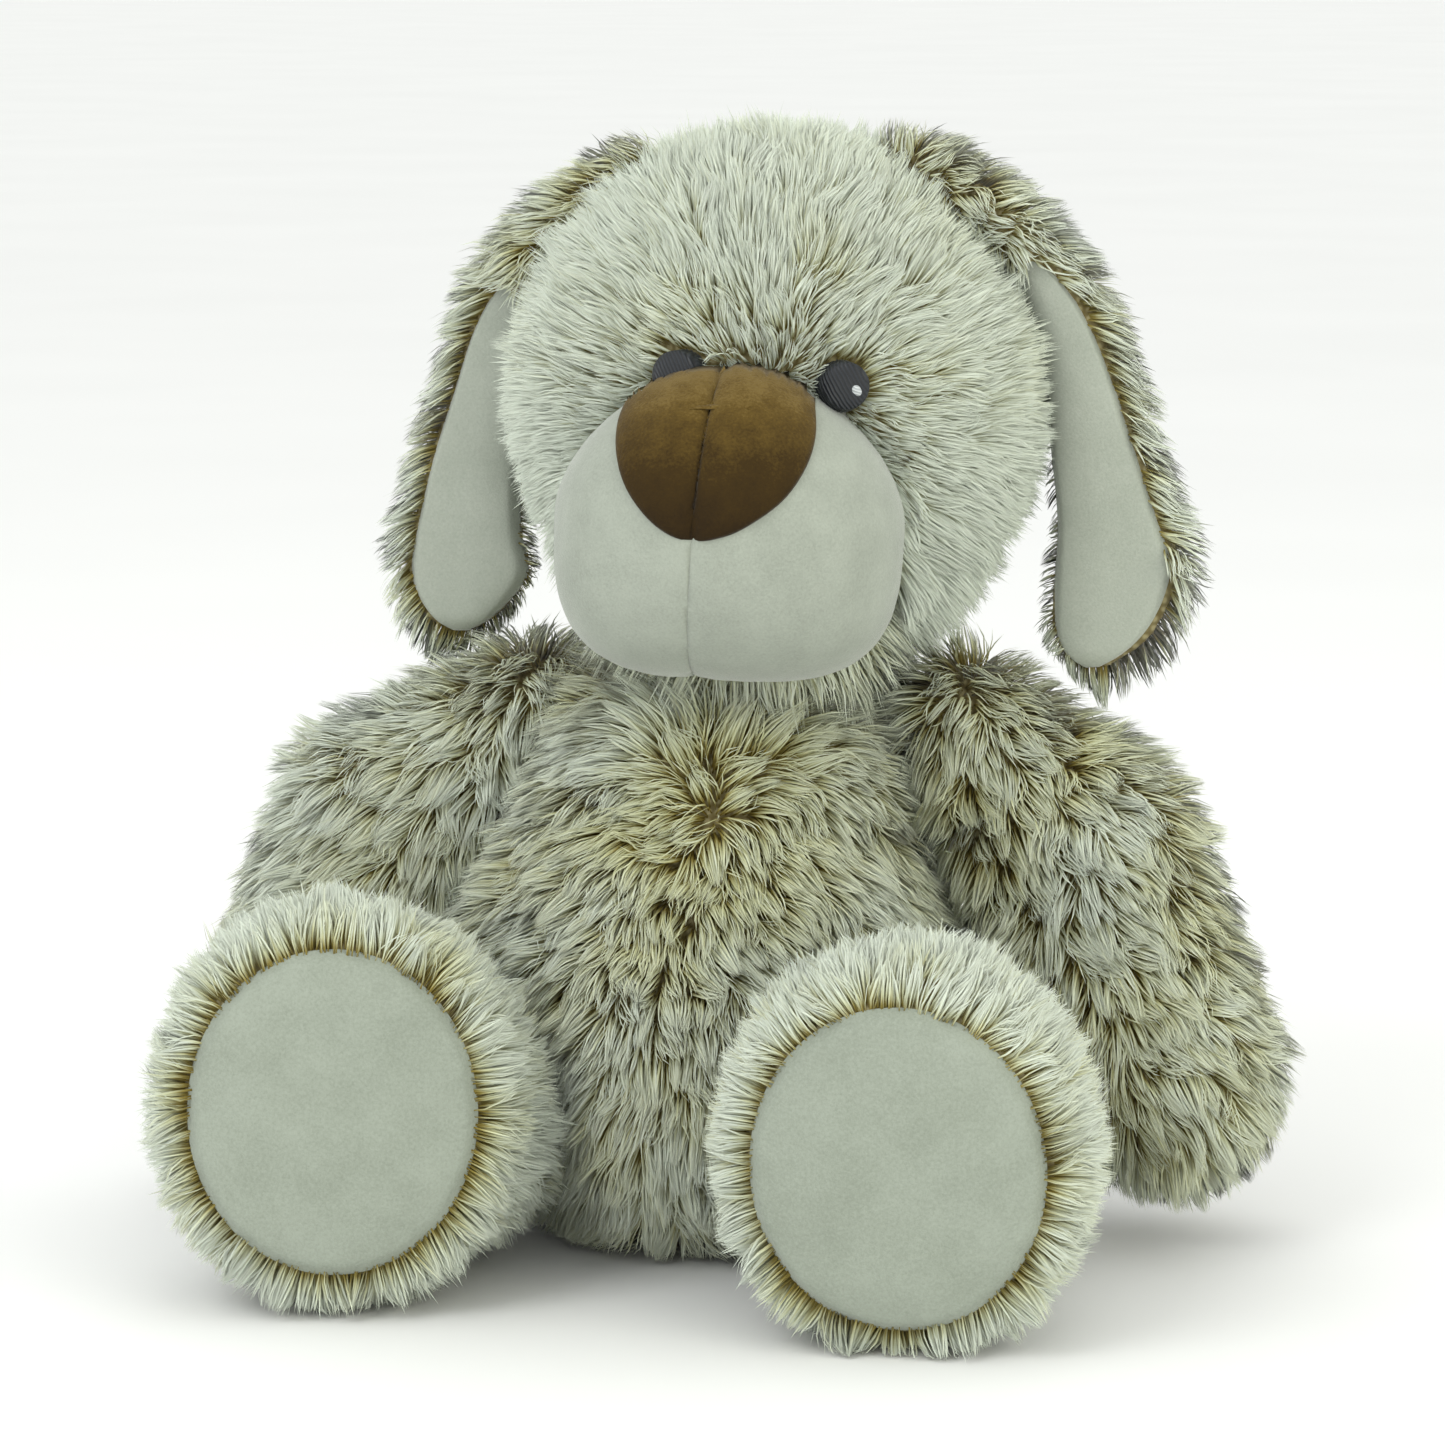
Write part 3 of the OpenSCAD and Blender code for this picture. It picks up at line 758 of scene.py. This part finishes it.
def nose_dent(x, z):
    off = float(seam_off(np.array([[x, 0, z]]))[0])
    low = 1 - float(ramp(z, 8 * MM, 14 * MM))
    return low * (0.9 * MM * math.exp(-((off / (0.9 * MM)) ** 2)) + 0.8 * MM * math.exp(-((off / (3.5 * MM)) ** 2)))


nose = patch("nose_patch", nose_outline, (*NOSE_AT, -0.09), 26, 96, 2.6 * MM, 7, muzzle_tree, nose_dent)
cut(nose, SEAM_POINT, SEAM_NORMAL)
for side, s in SIDES.items():
    def half(mid, s=s):
        return seam_off(transformed(mid, HEAD_INV)) * s > 0

    part = panels(nose, {"nose_panel_" + side: half})["nose_panel_" + side]
    paint(part, NOSE)
    fit(backed(part, 0.8 * MM), "head", ["nose_" + side])
bpy.data.objects.remove(nose)

# eyes: satin-stitched discs
GLINT_AT = (2.0, -1.0)
for side, s in SIDES.items():
    out = (HEAD @ Vector(eye_middle(side)) - HEAD_AT).normalized()
    across = out.cross(Vector((0, 0, 1))).normalized() * -1
    up = across.cross(out).normalized() * -1
    if up.z < 0:
        up = -up
    radius, rows, turns = 6.4 * MM, 9, 72
    base = HEAD_AT + out * (HEAD_R + 0.2 * MM)
    verts = [base + out * 1.9 * MM]
    faces = []
    for i in range(1, rows + 1):
        r = i / rows
        for j in range(turns):
            a = 2 * math.pi * j / turns
            jag = 1 + (0.035 * math.sin(j * 9.7) if i == rows else 0)
            h = 1.9 * MM * math.sqrt(max(0, 1 - r ** 4)) - 0.5 * MM * r * r - (5 * MM if i == rows else 0)
            verts.append(base + (across * math.cos(a) + up * math.sin(a)) * radius * r * jag + out * h)
    faces += [(0, 1 + j, 1 + (j + 1) % turns) for j in range(turns)]
    for i in range(rows - 1):
        a, b = 1 + i * turns, 1 + (i + 1) * turns
        faces += [(a + j, b + j, b + (j + 1) % turns, a + (j + 1) % turns) for j in range(turns)]
    eye = paint(new_object("eye_stitch_" + side, verts, faces), EYE)
    fit(eye, "head", ["eye_" + side])
    spot = base + (across * GLINT_AT[0] + up * GLINT_AT[1]) * MM + out * 1.7 * MM
    verts, faces = [], []
    for i in range(5):
        for j in range(20):
            a = 2 * math.pi * j / 20
            r = (i / 4) * 1.15 * MM
            long = 1 + 0.55 * max(0, -math.sin(a - 0.7)) ** 3
            height = 0.7 * MM * (1 - (i / 4) ** 3)
            verts.append(spot + (across * math.cos(a) + up * math.sin(a)) * r * long + out * height)
    faces = ring_faces(4, 20)
    dot = paint(new_object("eye_glint_" + side, verts, faces), WHITE)
    fit(dot, "head", ["eye_highlight_" + side])

# ---------------------------------------------------------------- torso
TORSO = ["belly_left", "belly_right", "back_left", "back_right", "seat_base"]
torso_skin = cad_solid("torso_skin", TORSO, hull=True)
remesh(torso_skin, 3.5 * MM, 4)
inset(torso_skin, skin_in)
puff(torso_skin, 2 * MM)
co = coords(torso_skin)
seat_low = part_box("seat_base")[0].z
SEAT_TOP = seat_low + 10 * MM
co[:, 2] = np.maximum(co[:, 2], seat_low + 1 * MM)
set_coords(torso_skin, co)
torso_cloth = Cloth(torso_skin)
TORSO_MID = (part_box("seat_base")[0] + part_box("seat_base")[1]) / 2
SEAM_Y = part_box("belly_left")[1].y
belly_low, belly_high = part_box("belly_left")
SWIRL = np.array([TORSO_MID.x + 13 * MM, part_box("belly_left")[0].y + 18 * MM, belly_low.z + 104 * MM])


def lean_x(p):
    """Distance to the left of the leaning torso's middle plane."""
    return p[:, 0] - TORSO_MID.x - (p[:, 2] - 50 * MM) * math.tan(LEAN) * 0.95


def torso_comb(p, n):
    x = lean_x(p)
    front = ramp(-(p[:, 1] - SEAM_Y), -10 * MM, 25 * MM)
    away = np.stack([np.sign(x) * ramp(np.abs(x), 0, 20 * MM) * 0.3 * front, np.zeros(len(p)), -np.ones(len(p))], 1)
    d = p - SWIRL
    near = np.exp(-(np.linalg.norm(d * np.array([1, 0.5, 1]), axis=1) / (20 * MM)) ** 2)[:, None]
    return away * (1 - near) + unit(d) * near * 2.2


def torso_brown(p):
    x = np.abs(lean_x(p))
    seam = np.exp(-((x / (9 * MM)) ** 2)) * 0.06
    near = np.exp(-(np.linalg.norm(p - SWIRL, axis=1) / (28 * MM)) ** 2) * 0.25
    return 0.47 + seam + near + 0.15 * field(p, 30 * MM, 31)


def torso_length(p):
    """Longer round the shoulders, where it fills the gap under the head."""
    return (13.5 + 7 * ramp(p[:, 2], CHEST_Z, CHEST_Z + 15 * MM)) * MM


CHEST_Z = belly_high.z - 22 * MM
panel_tests = {}
for side, s in SIDES.items():
    def front_half(m, s=s):
        return (lean_x(m) * s > 0) & (m[:, 1] < SEAM_Y) & (m[:, 2] > SEAT_TOP)

    def rear_half(m, s=s):
        return (lean_x(m) * s > 0) & (m[:, 1] >= SEAM_Y) & (m[:, 2] > SEAT_TOP)

    panel_tests["belly_" + side] = front_half
    panel_tests["back_" + side] = rear_half
panel_tests["seat_base"] = lambda m: m[:, 2] <= SEAT_TOP
for name, test in panel_tests.items():
    skin = panels(torso_skin, {name + "_backing": test})[name + "_backing"]
    paint(backed(skin), KNIT)
    fit(skin, "torso", [name])

    def panel_keep(p, n, test=test):
        return test(p) * (p[:, 2] > seat_low + 4 * MM) * (n[:, 2] > -0.85)

    fur = pile(name + "_pile", torso_cloth, torso_comb, 40 + len(name), keep=panel_keep,
               brown=torso_brown, length=torso_length, **BODY_PILE)
    fit(fur, "torso", [])
bpy.data.objects.remove(torso_skin)
stuffing("torso_fibre", "torso_filling", "torso")
pouch = cad_solid("granule_bag", ["granule_pouch"])
remesh(pouch, 2 * MM, 3)
co = coords(pouch)
set_coords(pouch, co - coords(pouch, "normal") * (0.5 * MM * (1 + field(co, 9 * MM, 3)))[:, None])
paint(pouch, POUCH)
fit(pouch, "torso", ["granule_pouch"])

# ---------------------------------------------------------------- neck
neck = cad_solid("neck_band", ["neck_cover"])
remesh(neck, 2.5 * MM, 3)
neck_mid = np.array(centre("neck_cover"))
neck_cloth = Cloth(neck)
fur = pile("neck_pile", neck_cloth, lambda p, n: np.array([0, 0, -0.5]) + unit(p - neck_mid) * 0.5, 33, per_cm2=90,
           keep=lambda p, n: ((p - neck_mid) * n).sum(1) > 0, brown=0.45, length=20 * MM, lift=(15, 40))
fit(fur, "neck", [])
paint(neck, KNIT)
fit(neck, "neck", ["neck_cover"])
stuffing("neck_fibre", "neck_filling", "neck", 3 * MM)

# ---------------------------------------------------------------- arms
for side, s in SIDES.items():
    body = "arm_" + side
    nodes = [body + "_outer", body + "_inner"]
    skin = cad_solid(body + "_skin", nodes, hull=True)
    remesh(skin, 3.5 * MM, 3)
    inset(skin, skin_in)
    puff(skin, 2 * MM)
    cloth = Cloth(skin)
    low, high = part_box(nodes[0])
    low2, high2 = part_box(nodes[1])
    top = max(high.z, high2.z)
    bottom = min(low.z, low2.z)
    near_x = min(abs(low.x), abs(high.x), abs(low2.x), abs(high2.x))
    shoulder = Vector((s * (near_x + 22 * MM), (low.y + high.y) / 2, top - 22 * MM))
    far_x = high.x if s > 0 else low.x
    far_x = max(far_x, high2.x) if s > 0 else min(far_x, low2.x)
    paw = Vector((far_x - s * 31 * MM, (low.y + high.y) / 2, bottom + 31 * MM))
    axis = (paw - shoulder).normalized()
    outward = Vector((0, 1, 0)).cross(axis) * s

    def arm_comb(p, n, axis=axis, c=shoulder, o=outward):
        near = 1 - ramp((p - np.array(c)) @ np.array(axis), -20 * MM, 25 * MM)
        return np.array(axis) + near[:, None] * np.array(o) * 1.2

    # Painted shade: the left arm's base share of brown is higher than the right's, making it darker and yellower like
    # the side away from the key light; the slow field on top is the fur's own brown patches.
    def arm_brown_and_side_shade(p, s=s):
        return (0.56 if s > 0 else 0.42) + 0.17 * field(p, 26 * MM, 55)

    for part, sign in (("outer", 1), ("inner", -1)):
        name = f"{body}_{part}"
        test = lambda m, sign=sign, o=outward, c=shoulder: ((m - np.array(c)) @ np.array(o)) * sign >= 0
        panel = panels(skin, {name + "_backing": test})[name + "_backing"]
        paint(backed(panel), KNIT)
        fit(panel, body, [name])

        def arm_keep(p, n, test=test):
            return test(p) * 1.0

        fur = pile(name + "_pile", cloth, arm_comb, 60 + s + sign * 5, keep=arm_keep,
                   brown=arm_brown_and_side_shade, length=13.5 * MM, **BODY_PILE)
        fit(fur, body, [])
    bpy.data.objects.remove(skin)
    stuffing(body + "_fibre", body + "_filling", body)

# ---------------------------------------------------------------- legs
SOLE_TURN = {"left": math.radians(4), "right": math.radians(12)}
SOLE_DIP = {"left": math.radians(4), "right": math.radians(-4)}
for side, s in SIDES.items():
    body = "leg_" + side
    sole_mid = centre("sole_" + side) + Vector((-1 if s < 0 else 0, 0, 3 if s < 0 else 1.5)) * MM
    turn = Matrix.Rotation(SOLE_TURN[side], 4, "Z") @ Matrix.Rotation(math.radians(90) + SOLE_DIP[side], 4, "X")
    facing = (turn.to_3x3() @ Vector((0, 0, 1))).normalized()
    place = Matrix.Translation(sole_mid) @ turn
    profile = [
        (2.5, 0), (2.5, 30), (1.5, 35.5), (-1, 38.5), (-6, 40.6), (-14, 41.6),
        (-24, 41.4), (-36, 38.5), (-48, 33), (-58, 25), (-64, 14), (-66, 0),
    ]
    verts, faces, turns = [], [], 64
    for ax, r in profile:
        for j in range(turns):
            a = 2 * math.pi * j / turns
            verts.append(place @ Vector((r * MM * 0.91 * math.cos(a), r * MM * 1.03 * math.sin(a), ax * MM)))
    faces = ring_faces(len(profile) - 1, turns)
    bm = bmesh.new()
    foot = new_object(body + "_foot", verts, faces)
    bm.from_mesh(foot.data)
    bmesh.ops.remove_doubles(bm, verts=bm.verts, dist=0.2 * MM)
    bmesh.ops.recalc_face_normals(bm, faces=bm.faces)
    thigh = cad_solid(body + "_thigh", [body + "_top", body + "_underside"], hull=True)
    remesh(thigh, 4 * MM)
    inset(thigh, skin_in)
    tm = thigh.data
    bm.from_mesh(tm)
    bm.to_mesh(foot.data)
    bm.free()
    bpy.data.objects.remove(thigh)
    skin = foot
    remesh(skin, 3 * MM, 3)
    puff(skin, 1.5 * MM)
    co = coords(skin)
    co[:, 2] = np.maximum(co[:, 2], 3 * MM)
    set_coords(skin, co)
    cloth = Cloth(skin)
    hip = Vector((s * 50 * MM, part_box(body + "_top")[1].y - 30 * MM, 34 * MM))
    ankle_axis = (sole_mid - hip).normalized()
    inv = place.inverted()

    def foot_comb(p, n, inv=inv, facing=facing):
        q = transformed(p, inv)
        radial = np.stack([q[:, 0], q[:, 1], np.zeros(len(p))], 1) @ np.array(turn.to_3x3()).T
        rim = ramp(q[:, 2], -10 * MM, 0)[:, None]
        side = ramp(q[:, 2], -55 * MM, -20 * MM)[:, None]
        return unit(radial) * (0.3 + 2 * rim) - np.array(facing) * (1 - rim) * (1 - 0.5 * side)

    def foot_keep(p, n, inv=inv):
        q = transformed(p, inv)
        r = np.hypot(q[:, 0], q[:, 1] * 35 / 39.5)
        return np.where((q[:, 2] > -4 * MM) & (r < 33.5 * MM), 0.0, 1.0) * (p[:, 2] > 4 * MM)

    def foot_brown(p, inv=inv):
        q = transformed(p, inv)
        rim = ramp(q[:, 2], -16 * MM, -2 * MM)
        return 0.3 + 0.06 * rim + 0.24 * field(p, 20 * MM, 71)

    def foot_length(p, inv=inv):
        q = transformed(p, inv)
        return (12 - 1.5 * ramp(q[:, 2], -12 * MM, 0)) * MM

    split = np.array(ankle_axis.cross(Vector((1, 0, 0))).normalized())
    if split[2] < 0:
        split = -split
    for part, sign in (("top", 1), ("underside", -1)):
        name = f"{body}_{part}"
        test = lambda m, sign=sign, c=np.array(sole_mid), w=split: ((m - c) @ w) * sign >= 0
        panel = panels(skin, {name + "_backing": test})[name + "_backing"]
        paint(backed(panel), KNIT)
        fit(panel, body, [name])

        def panel_keep(p, n, test=test, foot_keep=foot_keep):
            return test(p) * foot_keep(p, n)

        fur = pile(name + "_pile", cloth, foot_comb, 80 + s + sign * 5, per_cm2=165, keep=panel_keep,
                   brown=foot_brown, length=foot_length, lift=(18, 50), wander=0.8, gather=0.6,
                   tuft=4.2 * MM, width=PILE_WIDTH, droop=0.05, swirl=12 * MM)
        fit(fur, body, [])
    bpy.data.objects.remove(skin)
    stuffing(body + "_fibre", body + "_filling", body)
    rings, turns = 40, 128
    verts, faces = [], []
    for i in range(rings + 1):
        r = i / rings
        for j in range(turns):
            a = 2 * math.pi * j / turns
            x, y = 35 * MM * r * math.cos(a), 39.5 * MM * r * math.sin(a)
            pillow = 4.2 * MM * (1 - r ** 3.2) - 2.2 * MM * ramp(r, 0.93, 1.0)
            ripple = 0.5 * MM * float(field(np.array([[x, y, s * 0.1]]), 26 * MM, 91)[0]) * (0.3 + r)
            verts.append(place @ Vector((x, y, 1.6 * MM + pillow + ripple)))
    faces = ring_faces(rings, turns)
    sole = new_object("sole_panel_" + side, verts, faces)
    paint(sole, SOLE)
    fit(sole, body, ["sole_" + side])

# ---------------------------------------------------------------- tail
tail = cad_solid("tail_skin", ["tail_fur"], hull=True)
remesh(tail, 2.5 * MM, 3)
inset(tail, 4 * MM, 2)
tail_cloth = Cloth(tail)


def tail_comb(p, n):
    return np.array([0, 0.9, 0.3]) + np.zeros_like(p)


fur = pile("tail_pile", tail_cloth, tail_comb, 97, per_cm2=130, brown=0.65, length=13 * MM, lift=(25, 60))
fit(fur, "tail", [])
paint(backed(tail), KNIT)
fit(tail, "tail", ["tail_fur"])
stuffing("tail_fibre", "tail_filling", "tail", 2.5 * MM, 0.6 * MM)

# ---------------------------------------------------------------- ears
# each row: outer edge x, z and inner edge x, z from the head's middle, half thickness, how far back (mm)
LINING_TOP, LINING_RIM = 15, 2.5 * MM
EAR = {
    "left": [
        (27, 62, 28, 54, 6, 2), (40, 61, 38, 48, 9, 2), (52, 54, 47, 41, 10, 2), (65, 43, 56, 35, 10, 3),
        (78, 27, 62, 24, 8, 5), (86, 10, 66, 8, 7, 8), (92, -8, 68, -12, 6, 9), (99, -28, 70, -32, 6, 9),
        (103, -42, 69, -50, 5.5, 9), (97, -58, 70, -62, 5.5, 9), (86, -69, 76, -70, 5, 9),
    ],
    "right": [
        (-30, 61, -31, 54, 6, 2), (-42, 57, -40, 45, 9, 2), (-55, 49, -49, 37, 10, 2), (-70, 36, -56, 28, 10, 3),
        (-81, 18, -61, 12, 8, 5), (-89, -3, -65, -6, 7, 8), (-95, -20, -69, -22, 6, 9), (-99, -36, -69, -38, 6, 9),
        (-101, -48, -67, -48, 5.5, 9), (-98, -57, -73, -57, 5.5, 9), (-92, -65, -81, -65, 5, 9),
    ],
}


def smooth_rows(rows, count):
    """A smooth curve through rows of numbers."""
    rows = np.array(rows, float)
    at = np.linspace(0, len(rows) - 1, count)
    out = []
    for t in at:
        i = min(int(t), len(rows) - 2)
        f = t - i
        a, b, c, d = (rows[max(0, min(len(rows) - 1, i + k))] for k in (-1, 0, 1, 2))
        out.append(0.5 * (2 * b + (c - a) * f + (2 * a - 5 * b + 4 * c - d) * f * f + (3 * b - a - 3 * c + d) * f ** 3))
    return np.array(out)


for side, s in SIDES.items():
    body = "ear_" + side
    rows = smooth_rows(EAR[side], 44) * MM
    loop = 28
    verts, faces = [], []
    for i, (ox, oz, ix, iz, th, back) in enumerate(rows):
        out, inn = np.array([ox, 0, oz]), np.array([ix, 0, iz])
        mid, half_w = (out + inn) / 2, np.linalg.norm(out - inn) / 2
        across = (out - inn) / max(2 * half_w, 1e-6)
        closing = min(1, (i + 0.3) / 2.0, (len(rows) - 1 - i + 0.35) / 3.0) ** 0.5
        for j in range(loop):
            a = 2 * math.pi * j / loop
            curl = -3 * MM * max(0, math.cos(a)) ** 2
            v = mid + across * math.cos(a) * half_w * closing + np.array([0, back + curl + math.sin(a) * th * closing, 0])
            verts.append(HEAD_AT + Vector(v))
    faces = ring_faces(len(rows) - 1, loop)
    faces += [tuple(range(loop)), tuple(reversed([(len(rows) - 1) * loop + j for j in range(loop)]))]
    skin = new_object(body + "_skin", verts, faces)
    bm = bmesh.new()
    bm.from_mesh(skin.data)
    bmesh.ops.recalc_face_normals(bm, faces=bm.faces)
    bm.to_mesh(skin.data)
    bm.free()
    remesh(skin, 2.2 * MM, 4)
    puff(skin, 1.5 * MM, 3)
    inner = rows[:, 2:4] + np.array([HEAD_AT.x, HEAD_AT.z])
    outer = rows[:, 0:2] + np.array([HEAD_AT.x, HEAD_AT.z])
    tree = kdtree.KDTree(len(rows))
    mids = (inner + outer) / 2
    for i, m in enumerate(mids):
        tree.insert((m[0], 0, m[1]), i)
    tree.balance()

    def place_on(p, tree=tree, inner=inner, outer=outer):
        """For points on the ear: the nearest row, and the share of the way from inner to outer edge."""
        near = np.array([tree.find((q[0], 0, q[2]))[1] for q in p])
        w = np.linalg.norm(outer[near] - inner[near], axis=1)
        f = ((p[:, [0, 2]] - inner[near]) * (outer[near] - inner[near])).sum(1) / w ** 2
        return near, f, w

    def ear_keep(p, n, rows=rows, place_on=place_on):
        near, f, w = place_on(p)
        t = (near - LINING_TOP + 1) / (len(rows) - 1 - LINING_TOP)
        ends = np.maximum(0, 1 - (2 * t - 1) ** 10) ** 0.5
        reach = (f - 0.02) / (0.98 - LINING_RIM / w) - 0.5
        bare = (n[:, 1] < 0.1) & (np.abs(reach) < 0.13 + 0.325 * ends) & (t > 0.03) & (t < 0.97)
        blunt = (near < 3) & (np.abs(n[:, 1]) < 0.8) & (n[:, 2] < 0.3)
        return np.where(bare | blunt, 0.0, 1.0)

    cloth = Cloth(skin)
    verts, faces, first, last, wide = [], [], LINING_TOP - 1, len(rows) - 2, 18
    for i in range(first, last + 1):
        ox, oz, ix, iz, th, back = rows[i]
        out, inn = np.array([ox, 0, oz]), np.array([ix, 0, iz])
        t = (i - first) / (last - first)
        ends = max(0.0, 1 - (2 * t - 1) ** 10) ** 0.5
        rim = 1 - LINING_RIM / np.linalg.norm(out - inn)
        for j in range(wide + 1):
            f = 0.02 + (rim - 0.02) * (0.5 + (j / wide - 0.5) * (0.35 + 0.65 * ends))
            a = 1 - 2 * f
            bulge = th * math.sqrt(max(0.0, 1 - a * a)) + 1.6 * MM
            edge = max(abs(2 * j / wide - 1), abs(2 * t - 1))
            tuck = 3.0 * MM * max(0, edge - 0.9) / 0.1
            curl = -3 * MM * max(0, 2 * f - 1) ** 2
            verts.append(HEAD_AT + Vector(inn + (out - inn) * f + np.array([0, back + curl - bulge + tuck, 0])))
    for i in range(last - first):
        for j in range(wide):
            k = i * (wide + 1) + j
            faces.append((k, k + 1, k + wide + 2, k + wide + 1))
    lining = new_object(body + "_lining_panel", verts, faces)
    bm = bmesh.new()
    bm.from_mesh(lining.data)
    bmesh.ops.recalc_face_normals(bm, faces=bm.faces)
    if sum((f.normal for f in bm.faces), Vector()).y > 0:
        bmesh.ops.reverse_faces(bm, faces=bm.faces)
    bm.to_mesh(lining.data)
    bm.free()
    sub = lining.modifiers.new("round", "SUBSURF")
    sub.levels = 2
    settle(lining)
    paint(backed(lining, 1.5 * MM), LINING)
    fit(lining, body, [body + "_lining"])
    parts = {body + "_backing": skin.copy()}
    parts[body + "_backing"].data = skin.data.copy()
    parts[body + "_backing"].name = body + "_backing"
    scene.collection.objects.link(parts[body + "_backing"])
    backing = paint(backed(parts[body + "_backing"]), KNIT)
    fit(backing, body, [body + "_fur"])
    tangent = np.gradient(mids, axis=0)

    def ear_comb(p, n, tree=tree, tangent=tangent, outer=outer, inner=inner):
        near = np.array([tree.find((q[0], 0, q[2]))[1] for q in p])
        t = unit(tangent[near])
        o = unit(outer[near] - inner[near])
        d = t + 0.35 * o
        return np.stack([d[:, 0], np.zeros(len(p)), d[:, 1]], 1)

    def ear_brown(p):
        top = ramp(p[:, 2] - HEAD_AT.z, 15 * MM, 50 * MM)
        return 0.33 + 0.1 * top + 0.2 * field(p, 22 * MM, 44)

    def ear_length(p, place_on=place_on):
        """Short along the ear's inner edge, longer towards its outer edge."""
        share = place_on(p)[1]
        return (5.5 + 5 * ramp(share, 0, 0.5)) * MM

    fur = pile(body + "_pile", cloth, ear_comb, 120 + s, per_cm2=170, keep=ear_keep, brown=ear_brown,
               length=ear_length, lift=(20, 46), wander=0.7, gather=0.55, tuft=4.4 * MM, width=PILE_WIDTH,
               swirl=15 * MM)
    fit(fur, body, [])
    bpy.data.objects.remove(skin)

# ---------------------------------------------------------------- stage, lights, camera
floor_mat, floor_nt, floor_bsdf = material("pale_floor", 0.9, 0, 0.5, 0.1)
shade = colour_ramp(floor_nt, place_noise(floor_nt, 3, 2), [(0.3, (0.90, 0.905, 0.91)), (0.7, (0.92, 0.925, 0.93))])
floor_nt.links.new(shade, floor_bsdf.inputs["Base Color"])
FLOOR_HALF = 60
floor_z = CAD_LOW.z - 0.4 * MM
corners = [(x * FLOOR_HALF, y * FLOOR_HALF, floor_z) for x, y in ((-1, -1), (1, -1), (1, 1), (-1, 1))]
floor = paint(new_object("studio_floor", corners, [(0, 1, 2, 3)]), floor_mat)


def area_light(name, at, size, power, colour, aim):
    light = bpy.data.lights.new(name, "AREA")
    light.shape = "DISK"
    light.size = size
    light.energy = power
    light.color = colour
    ob = bpy.data.objects.new(name, light)
    scene.collection.objects.link(ob)
    ob.location = at
    ob.rotation_euler = (Vector(aim) - Vector(at)).to_track_quat("-Z", "Y").to_euler()


MID = (CAD_LOW + CAD_HIGH) / 2
area_light("key", (-0.55, -1.15, 1.15), 0.9, 7, (0.98, 1.0, 0.98), MID)
area_light("fill", (1.1, -0.9, 0.55), 1.1, 5, (1.0, 0.99, 0.80), MID)
area_light("top", (0.1, 0.35, 1.4), 1.0, 1.5, (1.0, 1.0, 0.98), MID)
world = bpy.data.worlds.new("studio")
world.use_nodes = True
world.node_tree.nodes["Background"].inputs[0].default_value = (0.95, 0.96, 0.93, 1)
world.node_tree.nodes["Background"].inputs[1].default_value = 1.05
scene.world = world

TURN, RISE, AWAY = math.radians(12.74), math.radians(8.82), 1.3228
target = MID + Vector((2.5, -3.2, -8.7)) * MM
back = Vector((math.sin(TURN) * math.cos(RISE), -math.cos(TURN) * math.cos(RISE), math.sin(RISE)))
camera = bpy.data.cameras.new("photo_camera")
camera.sensor_width = 36
camera.lens = 129.8
camera.clip_start = 0.05
cam = bpy.data.objects.new("photo_camera", camera)
scene.collection.objects.link(cam)
cam.location = target + back * AWAY
cam.rotation_euler = (-back).to_track_quat("-Z", "Y").to_euler()
scene.camera = cam
scene.view_settings.view_transform = "Standard"
